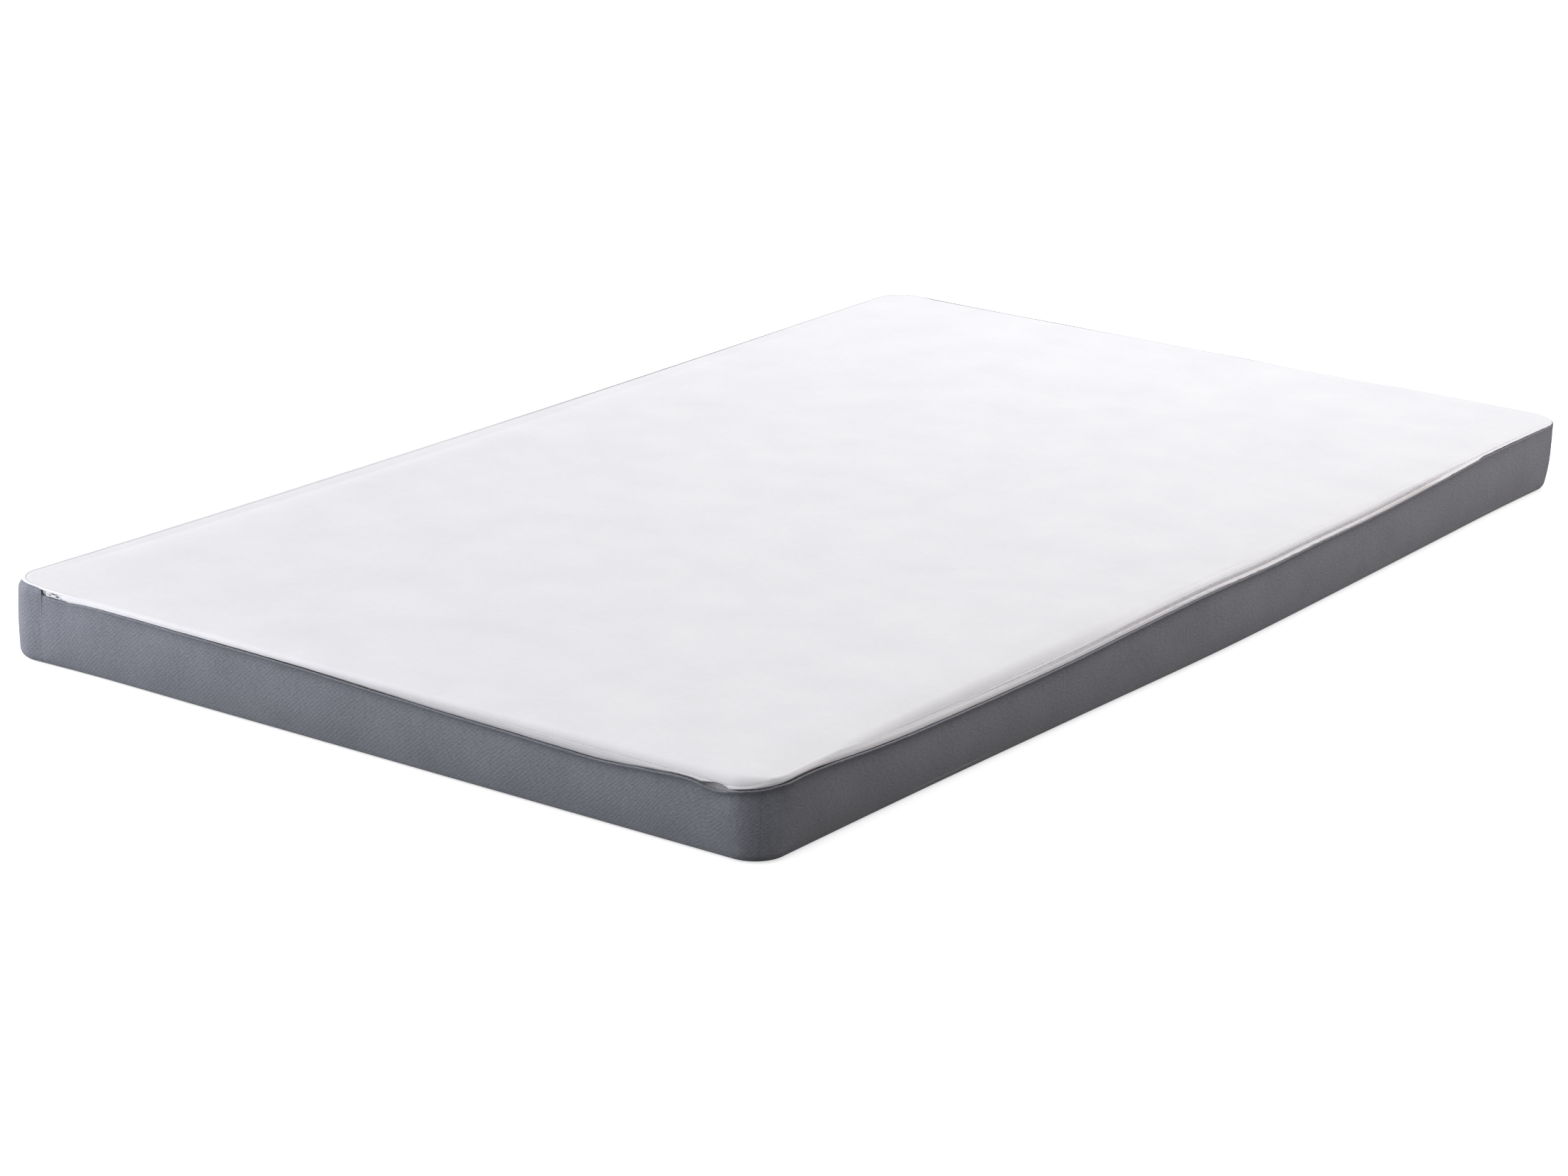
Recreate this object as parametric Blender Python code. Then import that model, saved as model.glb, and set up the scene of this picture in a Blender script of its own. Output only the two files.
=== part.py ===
"""Zipped memory foam mattress, 120 x 200 x 10.5 cm.

Two foam slabs lie in a thin liner, inside a cover with a white top panel, a grey border and a grey bottom.
A coil zip runs between the border and the top panel on three sides: the foot end (-Y), the right side (+X)
and the head end (+Y). The left side (-X) is a plain seam. The origin is at the middle of the underside.

A sewn piece is described by a section of points (depth, height, rise). Depth is measured inwards from
the mattress's outer plane and height from the floor, and rise says how much of the zip line's fall the
point follows.
"""

import math

import bmesh
import bpy
from mathutils import Matrix, Vector

MM = 0.001

# Driving dimensions of the whole mattress, in metres.
WIDTH = 1.200
LENGTH = 2.000
HEIGHT = 0.105
CORNER_RADIUS = 0.050
CORNER_STEPS = 8
GAP = 0.3 * MM

# The zip line: the top edge of the border, which falls towards the front right corner.
ZIP_LINE = 94.9 * MM
ZIP_FALL = 9.5 * MM
ZIP_OPENING = 6.8 * MM
ZIP_START_X = -0.532

# Cover fabric.
BORDER_THICKNESS = 1.2 * MM
PANEL_THICKNESS = 1.6 * MM
HEM_DEPTH = 4.5 * MM
BOTTOM_ROUND = 12.0 * MM
TOP_ROUND = 9.0 * MM
ROUND_STEPS = 6

# Zip. Depths run inwards, heights count up from the zip line.
COIL_DEPTHS = (3.2 * MM, 4.7 * MM)
LOWER_COIL = (1.6 * MM, 2.9 * MM)
UPPER_COIL = (3.9 * MM, 5.2 * MM)
TAPE_DEPTHS = (4.9 * MM, 5.4 * MM)
LOWER_TAPE = (-7.0 * MM, 2.7 * MM)
UPPER_TAPE = (4.1 * MM, 8.0 * MM)
COIL_START_X = ZIP_START_X + 6.0 * MM
STOP_LENGTH = 3.0 * MM

# Slider and pull tab.
SLIDER_REST_X = -0.517
SLIDER_LENGTH = 10.5 * MM
SLIDER_WIDTH = 6.0 * MM
FRONT_PLATE = (2.0 * MM, 2.8 * MM)
BACK_PLATE = (5.8 * MM, 6.6 * MM)
BRIDGE_DEPTHS = (0.3 * MM, 0.8 * MM)
BAR_DEPTH = 1.4 * MM
BAR_RADIUS = 0.4 * MM
BRIDGE_LENGTH = 7.2 * MM
BRIDGE_WIDTH = 1.4 * MM
BRIDGE_FOOT = 1.6 * MM
WEDGE_LENGTH = 1.8 * MM
WEDGE_WIDTH = 0.6 * MM
FLANGE_LENGTH = 7.0 * MM
FLANGE_WIDTH = 0.7 * MM
WELD = 0.3 * MM
TAB_LENGTH = 22.0 * MM
TAB_WIDTH = 4.6 * MM
TAB_EYE_LENGTH = 4.8 * MM
TAB_EYE_WIDTH = 2.6 * MM
TAB_SLOT = (13.0 * MM, 19.0 * MM)
TAB_SLOT_WIDTH = 2.2 * MM

# Care label on the left side.
LABEL_WIDTH = 30.0 * MM
LABEL_DROP = 42.0 * MM
LABEL_THICKNESS = 0.8 * MM
LABEL_Y = 0.62

# Foam and liner.
LINER_THICKNESS = 0.8 * MM
LEDGE_HEIGHT = 72.0 * MM
LEDGE_INSET = 6.9 * MM
FOAM_EDGE_ROUND = 2.2 * MM
SEAM_TAPE_THICKNESS = 0.6 * MM
SEAM_TAPE_HALF_WIDTH = 5.0 * MM
SEAM_TAPE_LIFT = 1.1 * MM

HALF_X = WIDTH / 2 - CORNER_RADIUS
HALF_Y = LENGTH / 2 - CORNER_RADIUS
LIP = ZIP_LINE + ZIP_OPENING
ZIP_MIDDLE = ZIP_LINE + ZIP_OPENING / 2
ZIP_TILT = math.atan(ZIP_FALL / (2 * HALF_X))
LINER_BOTTOM = BORDER_THICKNESS + GAP + SEAM_TAPE_THICKNESS + GAP
CORE_BOTTOM = LINER_BOTTOM + LINER_THICKNESS + GAP
CORE_TOP = LEDGE_HEIGHT - GAP
LINER_TOP = HEIGHT - PANEL_THICKNESS - GAP
MEMORY_TOP = LINER_TOP - LINER_THICKNESS - GAP

# Each plan corner: the signs of its X and Y, and the angle at which its arc starts, anticlockwise.
CORNERS = {
    "front_left": (-1, -1, 180),
    "front_right": (1, -1, 270),
    "rear_right": (1, 1, 0),
    "rear_left": (-1, 1, 90),
}


def linear(hex_colour):
    """Linear RGBA of an sRGB hex colour."""
    channels = [int(hex_colour[i : i + 2], 16) / 255 for i in (1, 3, 5)]
    return [c / 12.92 if c <= 0.04045 else ((c + 0.055) / 1.055) ** 2.4 for c in channels] + [1.0]


# Colour, roughness and metallic value of each finish.
FINISHES = {
    "white_knit": ("#ecebf0", 0.9, 0.0),
    "grey_twill": ("#6f7179", 0.9, 0.0),
    "grey_backing": ("#5f6168", 0.95, 0.0),
    "white_tape": ("#e6e6ea", 0.85, 0.0),
    "white_nylon": ("#eeeef0", 0.45, 0.0),
    "white_enamel": ("#e9e9ec", 0.3, 0.0),
    "liner_jersey": ("#f4f3f1", 0.95, 0.0),
    "support_foam": ("#dfe3ea", 0.95, 0.0),
    "memory_foam": ("#f3ecd6", 0.95, 0.0),
    "label_satin": ("#f6f6f6", 0.6, 0.0),
}


def finish(name, kind):
    """A material of its own for one node."""
    colour, roughness, metallic = FINISHES[kind]
    material = bpy.data.materials.new(name + "_" + kind)
    material.use_nodes = True
    shader = material.node_tree.nodes["Principled BSDF"]
    shader.inputs["Base Color"].default_value = linear(colour)
    shader.inputs["Roughness"].default_value = roughness
    shader.inputs["Metallic"].default_value = metallic
    return material


def node(name, mesh_data, kind):
    """Turn a bmesh into the named object, with its faces pointing out."""
    bmesh.ops.recalc_face_normals(mesh_data, faces=mesh_data.faces[:])
    mesh = bpy.data.meshes.new(name)
    mesh_data.to_mesh(mesh)
    mesh_data.free()
    mesh.materials.append(finish(name, kind))
    mesh.shade_smooth()
    mesh.set_sharp_from_angle(angle=math.radians(40))
    piece = bpy.data.objects.new(name, mesh)
    bpy.context.scene.collection.objects.link(piece)
    return piece


# --- Plan path: a station is (x, y, angle), the centre and direction that depths are measured from ---


def arc(corner, first=0, last=90):
    """Stations round one plan corner, between two angles from the arc's start."""
    side_x, side_y, start = CORNERS[corner]
    steps = round(CORNER_STEPS * (last - first) / 90)
    turns = [math.radians(start + first + (last - first) * i / steps) for i in range(steps + 1)]
    return [(side_x * HALF_X, side_y * HALF_Y, turn) for turn in turns]


def on_end(x, side_y):
    """A station on the straight part of the foot end (-1) or the head end (+1)."""
    return (x, side_y * HALF_Y, math.radians(90 * side_y))


def ring():
    """Stations all the way round, anticlockwise."""
    return [station for corner in CORNERS for station in arc(corner)]


def zip_path(start_x):
    """Stations along the zip: foot end, right side, head end."""
    return [on_end(start_x, -1)] + arc("front_right") + arc("rear_right") + [on_end(start_x, 1)]


def fall(station):
    """How far the zip line has fallen at a station: none on the left, all of it at the front right corner."""
    x, y, _ = station
    across = (x + HALF_X) / (2 * HALF_X)
    along = (HALF_Y - y) / (2 * HALF_Y)
    return ZIP_FALL * across * along


def place(station, point):
    """Where a section's point lies at a station."""
    x, y, angle = station
    depth, height, rise = point
    reach = CORNER_RADIUS - depth
    return Vector((x + reach * math.cos(angle), y + reach * math.sin(angle), height - rise * fall(station)))


# --- Skins ---


def skin(loops, closed):
    """Quads between each closed loop of places and the next, then the ends are joined or capped."""
    bm = bmesh.new()
    rows = [[bm.verts.new(p) for p in places] for places in loops]
    for first, second in zip(rows, rows[1:] + rows[:1] if closed else rows[1:]):
        for i in range(len(first)):
            bm.faces.new((first[i - 1], first[i], second[i], second[i - 1]))
    if not closed:
        bm.faces.new(rows[0])
        bm.faces.new(rows[-1])
    return bm


def strip(name, kind, stations, section):
    """A closed section carried along an open path."""
    return node(name, skin([[place(s, p) for p in section] for s in stations], False), kind)


def band(name, kind, section):
    """A closed section carried all the way round."""
    return node(name, skin([[place(s, p) for s in ring()] for p in section], True), kind)


def slab(name, kind, section):
    """An open section carried all the way round, capped with a flat face at each end."""
    return node(name, skin([[place(s, p) for s in ring()] for p in section], False), kind)


def flat(depth, height, rise=0.0):
    """A section point, with no fall unless one is asked for."""
    return (depth, height, rise)


def quarter(depth, height, radius, start, end, rise=0.0, steps=ROUND_STEPS):
    """Section points on a quarter circle about (depth, height), angles in degrees from straight inwards."""
    turns = [math.radians(start + (end - start) * i / steps) for i in range(steps + 1)]
    return [(depth + radius * math.cos(t), height + radius * math.sin(t), rise) for t in turns]


def on_line(depths, heights):
    """A rectangular section that follows the zip line, its heights counted from that line."""
    near, far = depths
    low, high = ZIP_LINE + heights[0], ZIP_LINE + heights[1]
    return [(near, low, 1.0), (far, low, 1.0), (far, high, 1.0), (near, high, 1.0)]


# --- Foam and liner ---


def support_foam_core():
    inset = BORDER_THICKNESS + GAP + LINER_THICKNESS + GAP
    radius = BOTTOM_ROUND - inset
    section = quarter(inset + radius, CORE_BOTTOM + radius, radius, 270, 180)
    slab("support_foam_core", "support_foam", section + [flat(inset, CORE_TOP)])


def memory_foam_layer():
    inset = LEDGE_INSET + LINER_THICKNESS + GAP
    radius = FOAM_EDGE_ROUND
    section = [flat(inset, LEDGE_HEIGHT)] + quarter(inset + radius, MEMORY_TOP - radius, radius, 180, 90)
    slab("memory_foam_layer", "memory_foam", section)


def liner_lower():
    """A tray under and round the core, with its top edge turned in over the core's ledge."""
    outer = BORDER_THICKNESS + GAP
    inner = outer + LINER_THICKNESS
    radius = BOTTOM_ROUND - outer
    middle = (outer + radius, LINER_BOTTOM + radius)
    outside = quarter(*middle, radius, 270, 180)
    inside = quarter(*middle, radius - LINER_THICKNESS, 180, 270)
    turned_in = [
        flat(outer, LEDGE_HEIGHT + LINER_THICKNESS),
        flat(LEDGE_INSET - GAP, LEDGE_HEIGHT + LINER_THICKNESS),
        flat(LEDGE_INSET - GAP, LEDGE_HEIGHT),
        flat(inner, LEDGE_HEIGHT),
    ]
    slab("liner_lower", "liner_jersey", outside + turned_in + inside)


def liner_upper():
    """A lid over the memory foam, standing on the core."""
    radius = FOAM_EDGE_ROUND + LINER_THICKNESS
    middle = (LEDGE_INSET + radius, LINER_TOP - radius)
    outside = quarter(*middle, radius, 90, 180) + [flat(LEDGE_INSET, LEDGE_HEIGHT)]
    inside = [flat(LEDGE_INSET + LINER_THICKNESS, LEDGE_HEIGHT)] + quarter(*middle, FOAM_EDGE_ROUND, 180, 90)
    slab("liner_upper", "liner_jersey", outside + inside)


# --- Outer cover ---


def bottom_panel():
    inset = BOTTOM_ROUND + GAP
    slab("bottom_panel", "grey_backing", [flat(inset, 0.0), flat(inset, BORDER_THICKNESS)])


def bottom_seam_tape():
    """A flat tape over the joint of the bottom panel and the border, its outer edge lifted a little."""
    low = BORDER_THICKNESS + GAP
    outer, inner = BOTTOM_ROUND - SEAM_TAPE_HALF_WIDTH, BOTTOM_ROUND + SEAM_TAPE_HALF_WIDTH
    under = [flat(outer, low + SEAM_TAPE_LIFT), flat(BOTTOM_ROUND, low), flat(inner, low)]
    over = [flat(d, h + SEAM_TAPE_THICKNESS) for d, h, _ in reversed(under)]
    band("bottom_seam_tape", "grey_backing", under + over)


def border_section(top):
    """Rounded bottom edge, upright wall, and a hem turned in at the top, which follows the zip line."""
    t = BORDER_THICKNESS
    inner_radius = BOTTOM_ROUND - t
    outside = quarter(BOTTOM_ROUND, BOTTOM_ROUND, BOTTOM_ROUND, 270, 180)
    hem = quarter(t, top - t, t, 180, 90, rise=1.0, steps=2)
    turned_in = [flat(HEM_DEPTH, top, 1.0), flat(HEM_DEPTH, top - t, 1.0), flat(t, top - t, 1.0)]
    inside = quarter(BOTTOM_ROUND, BOTTOM_ROUND, inner_radius, 180, 270)
    return outside + hem + turned_in + inside


def borders():
    """Three strips under the zip, joined at the middle of the right corners, and a taller one on the left."""
    low = border_section(ZIP_LINE)
    tall = border_section(LIP - GAP)
    seam = math.degrees(GAP / CORNER_RADIUS)
    foot = [on_end(ZIP_START_X, -1)] + arc("front_right", 0, 45 - seam)
    right = arc("front_right", 45, 90) + arc("rear_right", 0, 45 - seam)
    head = arc("rear_right", 45, 90) + [on_end(ZIP_START_X, 1)]
    left_start = ZIP_START_X - GAP
    left = [on_end(left_start, 1)] + arc("rear_left") + arc("front_left") + [on_end(left_start, -1)]
    strip("border_foot", "grey_twill", foot, low)
    strip("border_right", "grey_twill", right, low)
    strip("border_head", "grey_twill", head, low)
    strip("border_left", "grey_twill", left, tall)


def top_panel():
    """The white panel with its rolled edge and a lip turned in over the zip."""
    t = PANEL_THICKNESS
    rim = BORDER_THICKNESS
    lip_top = LIP + rim
    turns = [math.radians(90 * i / ROUND_STEPS) for i in range(ROUND_STEPS + 1)]
    outside = [
        (TOP_ROUND * (1 - math.cos(a)), LIP + (HEIGHT - LIP) * math.sin(a), 1 - math.sin(a)) for a in turns
    ]
    inside = [
        (
            t + (TOP_ROUND - t) * (1 - math.cos(a)),
            lip_top + (HEIGHT - t - lip_top) * math.sin(a),
            1 - math.sin(a),
        )
        for a in turns
    ]
    turned_in = [flat(HEM_DEPTH, lip_top, 1.0), flat(HEM_DEPTH, LIP, 1.0)]
    slab("top_panel", "white_knit", list(reversed(inside)) + turned_in + outside)


# --- Zip ---


def zip_chain():
    """Two tapes and two coils, with a slit between them for the slider's wedge."""
    tape_path = zip_path(ZIP_START_X + GAP)
    coil_path = zip_path(COIL_START_X)
    strip("zip_lower_tape", "white_tape", tape_path, on_line(TAPE_DEPTHS, LOWER_TAPE))
    strip("zip_upper_tape", "white_tape", tape_path, on_line(TAPE_DEPTHS, UPPER_TAPE))
    strip("zip_lower_coil", "white_nylon", coil_path, on_line(COIL_DEPTHS, LOWER_COIL))
    strip("zip_upper_coil", "white_nylon", coil_path, on_line(COIL_DEPTHS, UPPER_COIL))


def zip_stops():
    """A moulded block across the end of both coils, at each end of the zip."""
    section = on_line(COIL_DEPTHS, (LOWER_COIL[0] - GAP, UPPER_COIL[1] + GAP))
    end_x = COIL_START_X - GAP
    for name, side_y in (("zip_start_stop", -1), ("zip_end_stop", 1)):
        strip(name, "white_nylon", [on_end(end_x - STOP_LENGTH, side_y), on_end(end_x, side_y)], section)


def box(bm, xs, depths, zs):
    """An upright box in the slider's frame: X along the zip, Y inwards from the bar, Z across the zip."""
    verts = [bm.verts.new((x, d - BAR_DEPTH, z)) for x in xs for d in depths for z in zs]
    bmesh.ops.convex_hull(bm, input=verts)


def plate(bm, outline, depths):
    """A flat plate with the given outline in X and Z."""
    front = [bm.verts.new((x, depths[0] - BAR_DEPTH, z)) for x, z in outline]
    face = bm.faces.new(front)
    grown = bmesh.ops.extrude_face_region(bm, geom=[face])["geom"]
    moved = [v for v in grown if isinstance(v, bmesh.types.BMVert)]
    bmesh.ops.translate(bm, verts=moved, vec=(0, depths[1] - depths[0], 0))


def unite(base, name, bm):
    """Weld another closed shape onto a piece with a Boolean union."""
    other = node(base.name + "_" + name, bm, "white_enamel")
    other.hide_render = True
    other.display_type = "WIRE"
    other.matrix_world = base.matrix_world
    union = base.modifiers.new(name, "BOOLEAN")
    union.operation = "UNION"
    union.solver = "EXACT"
    union.object = other


def slider_place():
    """The slider's frame: origin on the tab's bar, X along the sloping zip line."""
    middle_z = ZIP_MIDDLE - fall(on_end(SLIDER_REST_X, -1))
    origin = Matrix.Translation((SLIDER_REST_X, -LENGTH / 2 + BAR_DEPTH, middle_z))
    return origin @ Matrix.Rotation(ZIP_TILT, 4, "Y")


def zip_slider():
    """Two plates joined by a wedge, flanges that hold the coils, and the bridge that the tab hangs on."""
    half_l, half_w = SLIDER_LENGTH / 2, SLIDER_WIDTH / 2
    shoulder = half_l - 1.6 * MM
    lower_side = [
        (-half_l, -0.65 * half_w),
        (-shoulder, -half_w),
        (shoulder, -half_w),
        (half_l, -0.8 * half_w),
    ]
    outline = lower_side + [(x, -z) for x, z in reversed(lower_side)]
    bm = bmesh.new()
    plate(bm, outline, FRONT_PLATE)
    slider = node("zip_slider", bm, "white_enamel")
    slider.matrix_world = slider_place()

    bm = bmesh.new()
    plate(bm, outline, BACK_PLATE)
    unite(slider, "back_plate", bm)
    nose = -half_l + 0.4 * MM
    wedge_depths = (FRONT_PLATE[1] - WELD, BACK_PLATE[0] + WELD)
    bm = bmesh.new()
    box(bm, (nose, nose + WEDGE_LENGTH), wedge_depths, (-WEDGE_WIDTH / 2, WEDGE_WIDTH / 2))
    unite(slider, "wedge", bm)
    tail = half_l - 0.2 * MM
    outer = half_w - 0.1 * MM
    flange_depths = (FRONT_PLATE[1] - WELD, TAPE_DEPTHS[0] - 0.4 * MM)
    for side, name in ((-1, "lower_flange"), (1, "upper_flange")):
        bm = bmesh.new()
        box(bm, (tail - FLANGE_LENGTH, tail), flange_depths, (side * (outer - FLANGE_WIDTH), side * outer))
        unite(slider, name, bm)

    half_bridge = BRIDGE_LENGTH / 2
    bm = bmesh.new()
    box(bm, (-half_bridge, half_bridge), BRIDGE_DEPTHS, (-BRIDGE_WIDTH / 2, BRIDGE_WIDTH / 2))
    unite(slider, "bridge", bm)
    foot_end = half_bridge - 0.1 * MM
    foot_z = BRIDGE_WIDTH / 2 - 0.1 * MM
    foot_depths = (BRIDGE_DEPTHS[1] - WELD / 2, FRONT_PLATE[0] + WELD)
    for side, name in ((-1, "nose_foot"), (1, "tail_foot")):
        bm = bmesh.new()
        box(bm, (side * (foot_end - BRIDGE_FOOT), side * foot_end), foot_depths, (-foot_z, foot_z))
        unite(slider, name, bm)
    return slider


def zip_pull_tab(slider):
    """A flat tab with an eye round the bridge, turning on a round bar under it, and a slot near its tip."""
    thick = (BAR_DEPTH - BAR_RADIUS, BAR_DEPTH + BAR_RADIUS)
    half_w = TAB_WIDTH / 2
    arm_outer = 0.84 * half_w
    lower_side = [
        (TAB_EYE_LENGTH, -0.85 * half_w),
        (TAB_LENGTH / 2, -0.75 * half_w),
        (TAB_LENGTH - 3.0 * MM, -half_w),
        (TAB_LENGTH - 0.8 * MM, -0.8 * half_w),
        (TAB_LENGTH, -0.4 * half_w),
    ]
    bm = bmesh.new()
    plate(bm, lower_side + [(x, -z) for x, z in reversed(lower_side)], thick)
    tab = node("zip_pull_tab", bm, "white_enamel")
    tab.matrix_world = slider_place()

    for side, name in ((-1, "lower_arm"), (1, "upper_arm")):
        bm = bmesh.new()
        box(bm, (0.0, TAB_EYE_LENGTH + WELD), thick, (side * TAB_EYE_WIDTH / 2, side * arm_outer))
        unite(tab, name, bm)
    bm = bmesh.new()
    bar_length = 2 * arm_outer - 0.1 * MM
    bmesh.ops.create_cone(
        bm, cap_ends=True, segments=12, radius1=BAR_RADIUS, radius2=BAR_RADIUS, depth=bar_length
    )
    unite(tab, "bar", bm)
    bm = bmesh.new()
    box(bm, TAB_SLOT, (thick[0] - WELD, thick[1] + WELD), (-TAB_SLOT_WIDTH / 2, TAB_SLOT_WIDTH / 2))
    unite(tab, "slot", bm)
    tab.modifiers["slot"].operation = "DIFFERENCE"
    tab.parent = slider
    tab.matrix_parent_inverse = slider_place().inverted()


def care_label():
    """A blank folded label sewn into the plain seam of the left side, near the head end."""
    top = LIP - 1.5 * MM
    inner_x = -WIDTH / 2 - GAP
    xs = (inner_x - LABEL_THICKNESS, inner_x)
    ys = (LABEL_Y - LABEL_WIDTH / 2, LABEL_Y + LABEL_WIDTH / 2)
    bm = bmesh.new()
    verts = [bm.verts.new((x, y, z)) for x in xs for y in ys for z in (top - LABEL_DROP, top)]
    bmesh.ops.convex_hull(bm, input=verts)
    node("care_label", bm, "label_satin")


def build():
    for piece in list(bpy.data.objects):
        bpy.data.objects.remove(piece)
    support_foam_core()
    memory_foam_layer()
    liner_lower()
    liner_upper()
    bottom_panel()
    bottom_seam_tape()
    borders()
    top_panel()
    zip_chain()
    zip_stops()
    zip_pull_tab(zip_slider())
    care_label()


build()
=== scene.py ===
"""Looks of a zipped memory foam mattress: knit top, twill border, coil zip, stitching, camera and light."""

import math

import bmesh
import bpy
import numpy as np
from mathutils import Matrix, Vector


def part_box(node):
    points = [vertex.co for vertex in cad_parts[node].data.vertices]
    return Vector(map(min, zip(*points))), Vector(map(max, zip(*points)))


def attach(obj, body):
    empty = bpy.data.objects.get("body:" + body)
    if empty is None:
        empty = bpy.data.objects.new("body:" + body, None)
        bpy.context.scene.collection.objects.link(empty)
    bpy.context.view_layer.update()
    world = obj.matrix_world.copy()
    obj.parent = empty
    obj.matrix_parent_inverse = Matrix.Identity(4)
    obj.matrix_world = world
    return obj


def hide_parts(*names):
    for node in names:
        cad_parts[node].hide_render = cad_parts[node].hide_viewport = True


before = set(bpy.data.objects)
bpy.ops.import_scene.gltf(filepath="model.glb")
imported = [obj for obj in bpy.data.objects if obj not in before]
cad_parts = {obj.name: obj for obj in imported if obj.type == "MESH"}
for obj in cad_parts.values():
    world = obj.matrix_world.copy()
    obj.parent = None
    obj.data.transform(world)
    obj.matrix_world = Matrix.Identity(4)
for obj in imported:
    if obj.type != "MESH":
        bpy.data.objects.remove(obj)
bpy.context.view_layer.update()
MM = 0.001

# --- Sizes, read from the frame where it holds them ---

HALF_WIDTH, HALF_LENGTH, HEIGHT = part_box("top_panel")[1]
CORNER_RADIUS = 50 * MM
HALF_X, HALF_Y = HALF_WIDTH - CORNER_RADIUS, HALF_LENGTH - CORNER_RADIUS
FOOT_RUN, SIDE_RUN = 2 * HALF_X, 2 * HALF_Y
ARC = CORNER_RADIUS * math.pi / 2

# The plan runs anticlockwise from the left end of the foot end's straight: straight, arc, straight, arc...
RUN_STARTS = np.cumsum([0, FOOT_RUN, ARC, SIDE_RUN, ARC, FOOT_RUN, ARC, SIDE_RUN])
RUN_SIGNS = [(-1, -1), (1, -1), (1, -1), (1, 1), (1, 1), (-1, 1), (-1, 1), (-1, -1)]
RIGHT_START, HEAD_START, LEFT_START = RUN_STARTS[2], RUN_STARTS[4], RUN_STARTS[6]
PERIMETER = RUN_STARTS[7] + ARC

# The zip line is the border's top edge. It falls from the left and the rear to the front right corner.
COIL_RISE = 1.6 * MM
LIP_RISE = 6.8 * MM
LINE_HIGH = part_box("border_right")[1].z
LINE_FALL = LINE_HIGH + COIL_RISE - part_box("zip_lower_coil")[0].z
ZIP_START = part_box("zip_lower_tape")[0].x + HALF_X
ZIP_END = HEAD_START + FOOT_RUN - ZIP_START
CHAIN_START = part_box("zip_lower_coil")[0].x + HALF_X
CHAIN_END = HEAD_START + FOOT_RUN - CHAIN_START
FRONT_SEAM = FOOT_RUN + ARC / 2
REAR_SEAM = HEAD_START - ARC / 2

# How far the sewn hem strays from the zip line, in mm, as (distance, height) points.
HEM_WAVE = [
    (0.000, 0.2),
    (0.060, 0.2),
    (0.095, 3.0),
    (0.16, 4.4),
    (0.25, 4.4),
    (0.35, 4.6),
    (0.48, 4.0),
    (0.57, 1.8),
    (0.67, -0.8),
    (0.78, -2.2),
    (0.86, -3.6),
    (0.92, -3.8),
    (0.95, -2.0),
    (0.99, 1.6),
    (1.064, 2.6),
    (1.075, 0.1),
    (1.091, 0.1),
    (1.105, 3.6),
    (1.14, 8.6),
    (RIGHT_START, 13.0),
    (RIGHT_START + 0.04, 13.0),
    (RIGHT_START + 0.10, 8.6),
    (RIGHT_START + 0.17, 3.8),
    (RIGHT_START + 0.24, 0.6),
    (RIGHT_START + 0.31, -1.0),
    (RIGHT_START + 0.46, -2.6),
    (RIGHT_START + 0.60, -1.8),
    (RIGHT_START + 0.73, 1.8),
    (RIGHT_START + 0.90, 5.2),
    (RIGHT_START + 1.07, 2.6),
    (RIGHT_START + 1.18, 2.6),
    (RIGHT_START + 1.35, 1.0),
    (RIGHT_START + 1.50, 3.0),
    (RIGHT_START + 1.60, 5.4),
    (RIGHT_START + 1.70, 7.8),
    (RIGHT_START + 1.80, 9.4),
    (HEAD_START - 0.04, 9.6),
    (HEAD_START + 0.10, 4.0),
    (HEAD_START + 0.25, -1.2),
    (HEAD_START + 0.60, 0.8),
    (HEAD_START + 0.95, -0.8),
    (LEFT_START, 0.0),
    (LEFT_START + 0.6, -0.8),
    (LEFT_START + 1.2, 0.6),
]

# How far the plan stands proud of its rounded rectangle, in mm: the right side bellies out.
BOW = [
    (0.0, 0.0),
    (FOOT_RUN + 0.03, 0.0),
    (RIGHT_START + 0.02, 0.0),
    (RIGHT_START + 0.30, 0.8),
    (RIGHT_START + 0.62, 5.1),
    (RIGHT_START + 0.96, 10.8),
    (RIGHT_START + 1.25, 7.8),
    (RIGHT_START + 1.55, 2.6),
    (RIGHT_START + 1.78, -1.6),
    (HEAD_START, -1.5),
    (HEAD_START + 0.3, -3.0),
    (HEAD_START + 0.8, -3.0),
    (LEFT_START - ARC, 0.0),
    (LEFT_START + 0.45, -4.0),
    (LEFT_START + 0.95, -7.0),
    (LEFT_START + 1.45, -6.0),
]

# How far the foot of the wall is tucked in, in mm.
TUCK = [
    (0.0, 2.0),
    (0.08, 5.8),
    (0.3, 6.6),
    (FOOT_RUN, 5.0),
    (RIGHT_START + 0.02, 5.0),
    (RIGHT_START + 0.96, 2.5),
    (RIGHT_START + 1.78, 6.5),
    (HEAD_START - ARC / 2, 6.5),
    (HEAD_START + 0.5, 4.0),
    (LEFT_START, 4.0),
    (LEFT_START + 1.0, 2.0),
    (LEFT_START + 1.88, 0.8),
    (PERIMETER - 0.02, 0.8),
]

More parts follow.
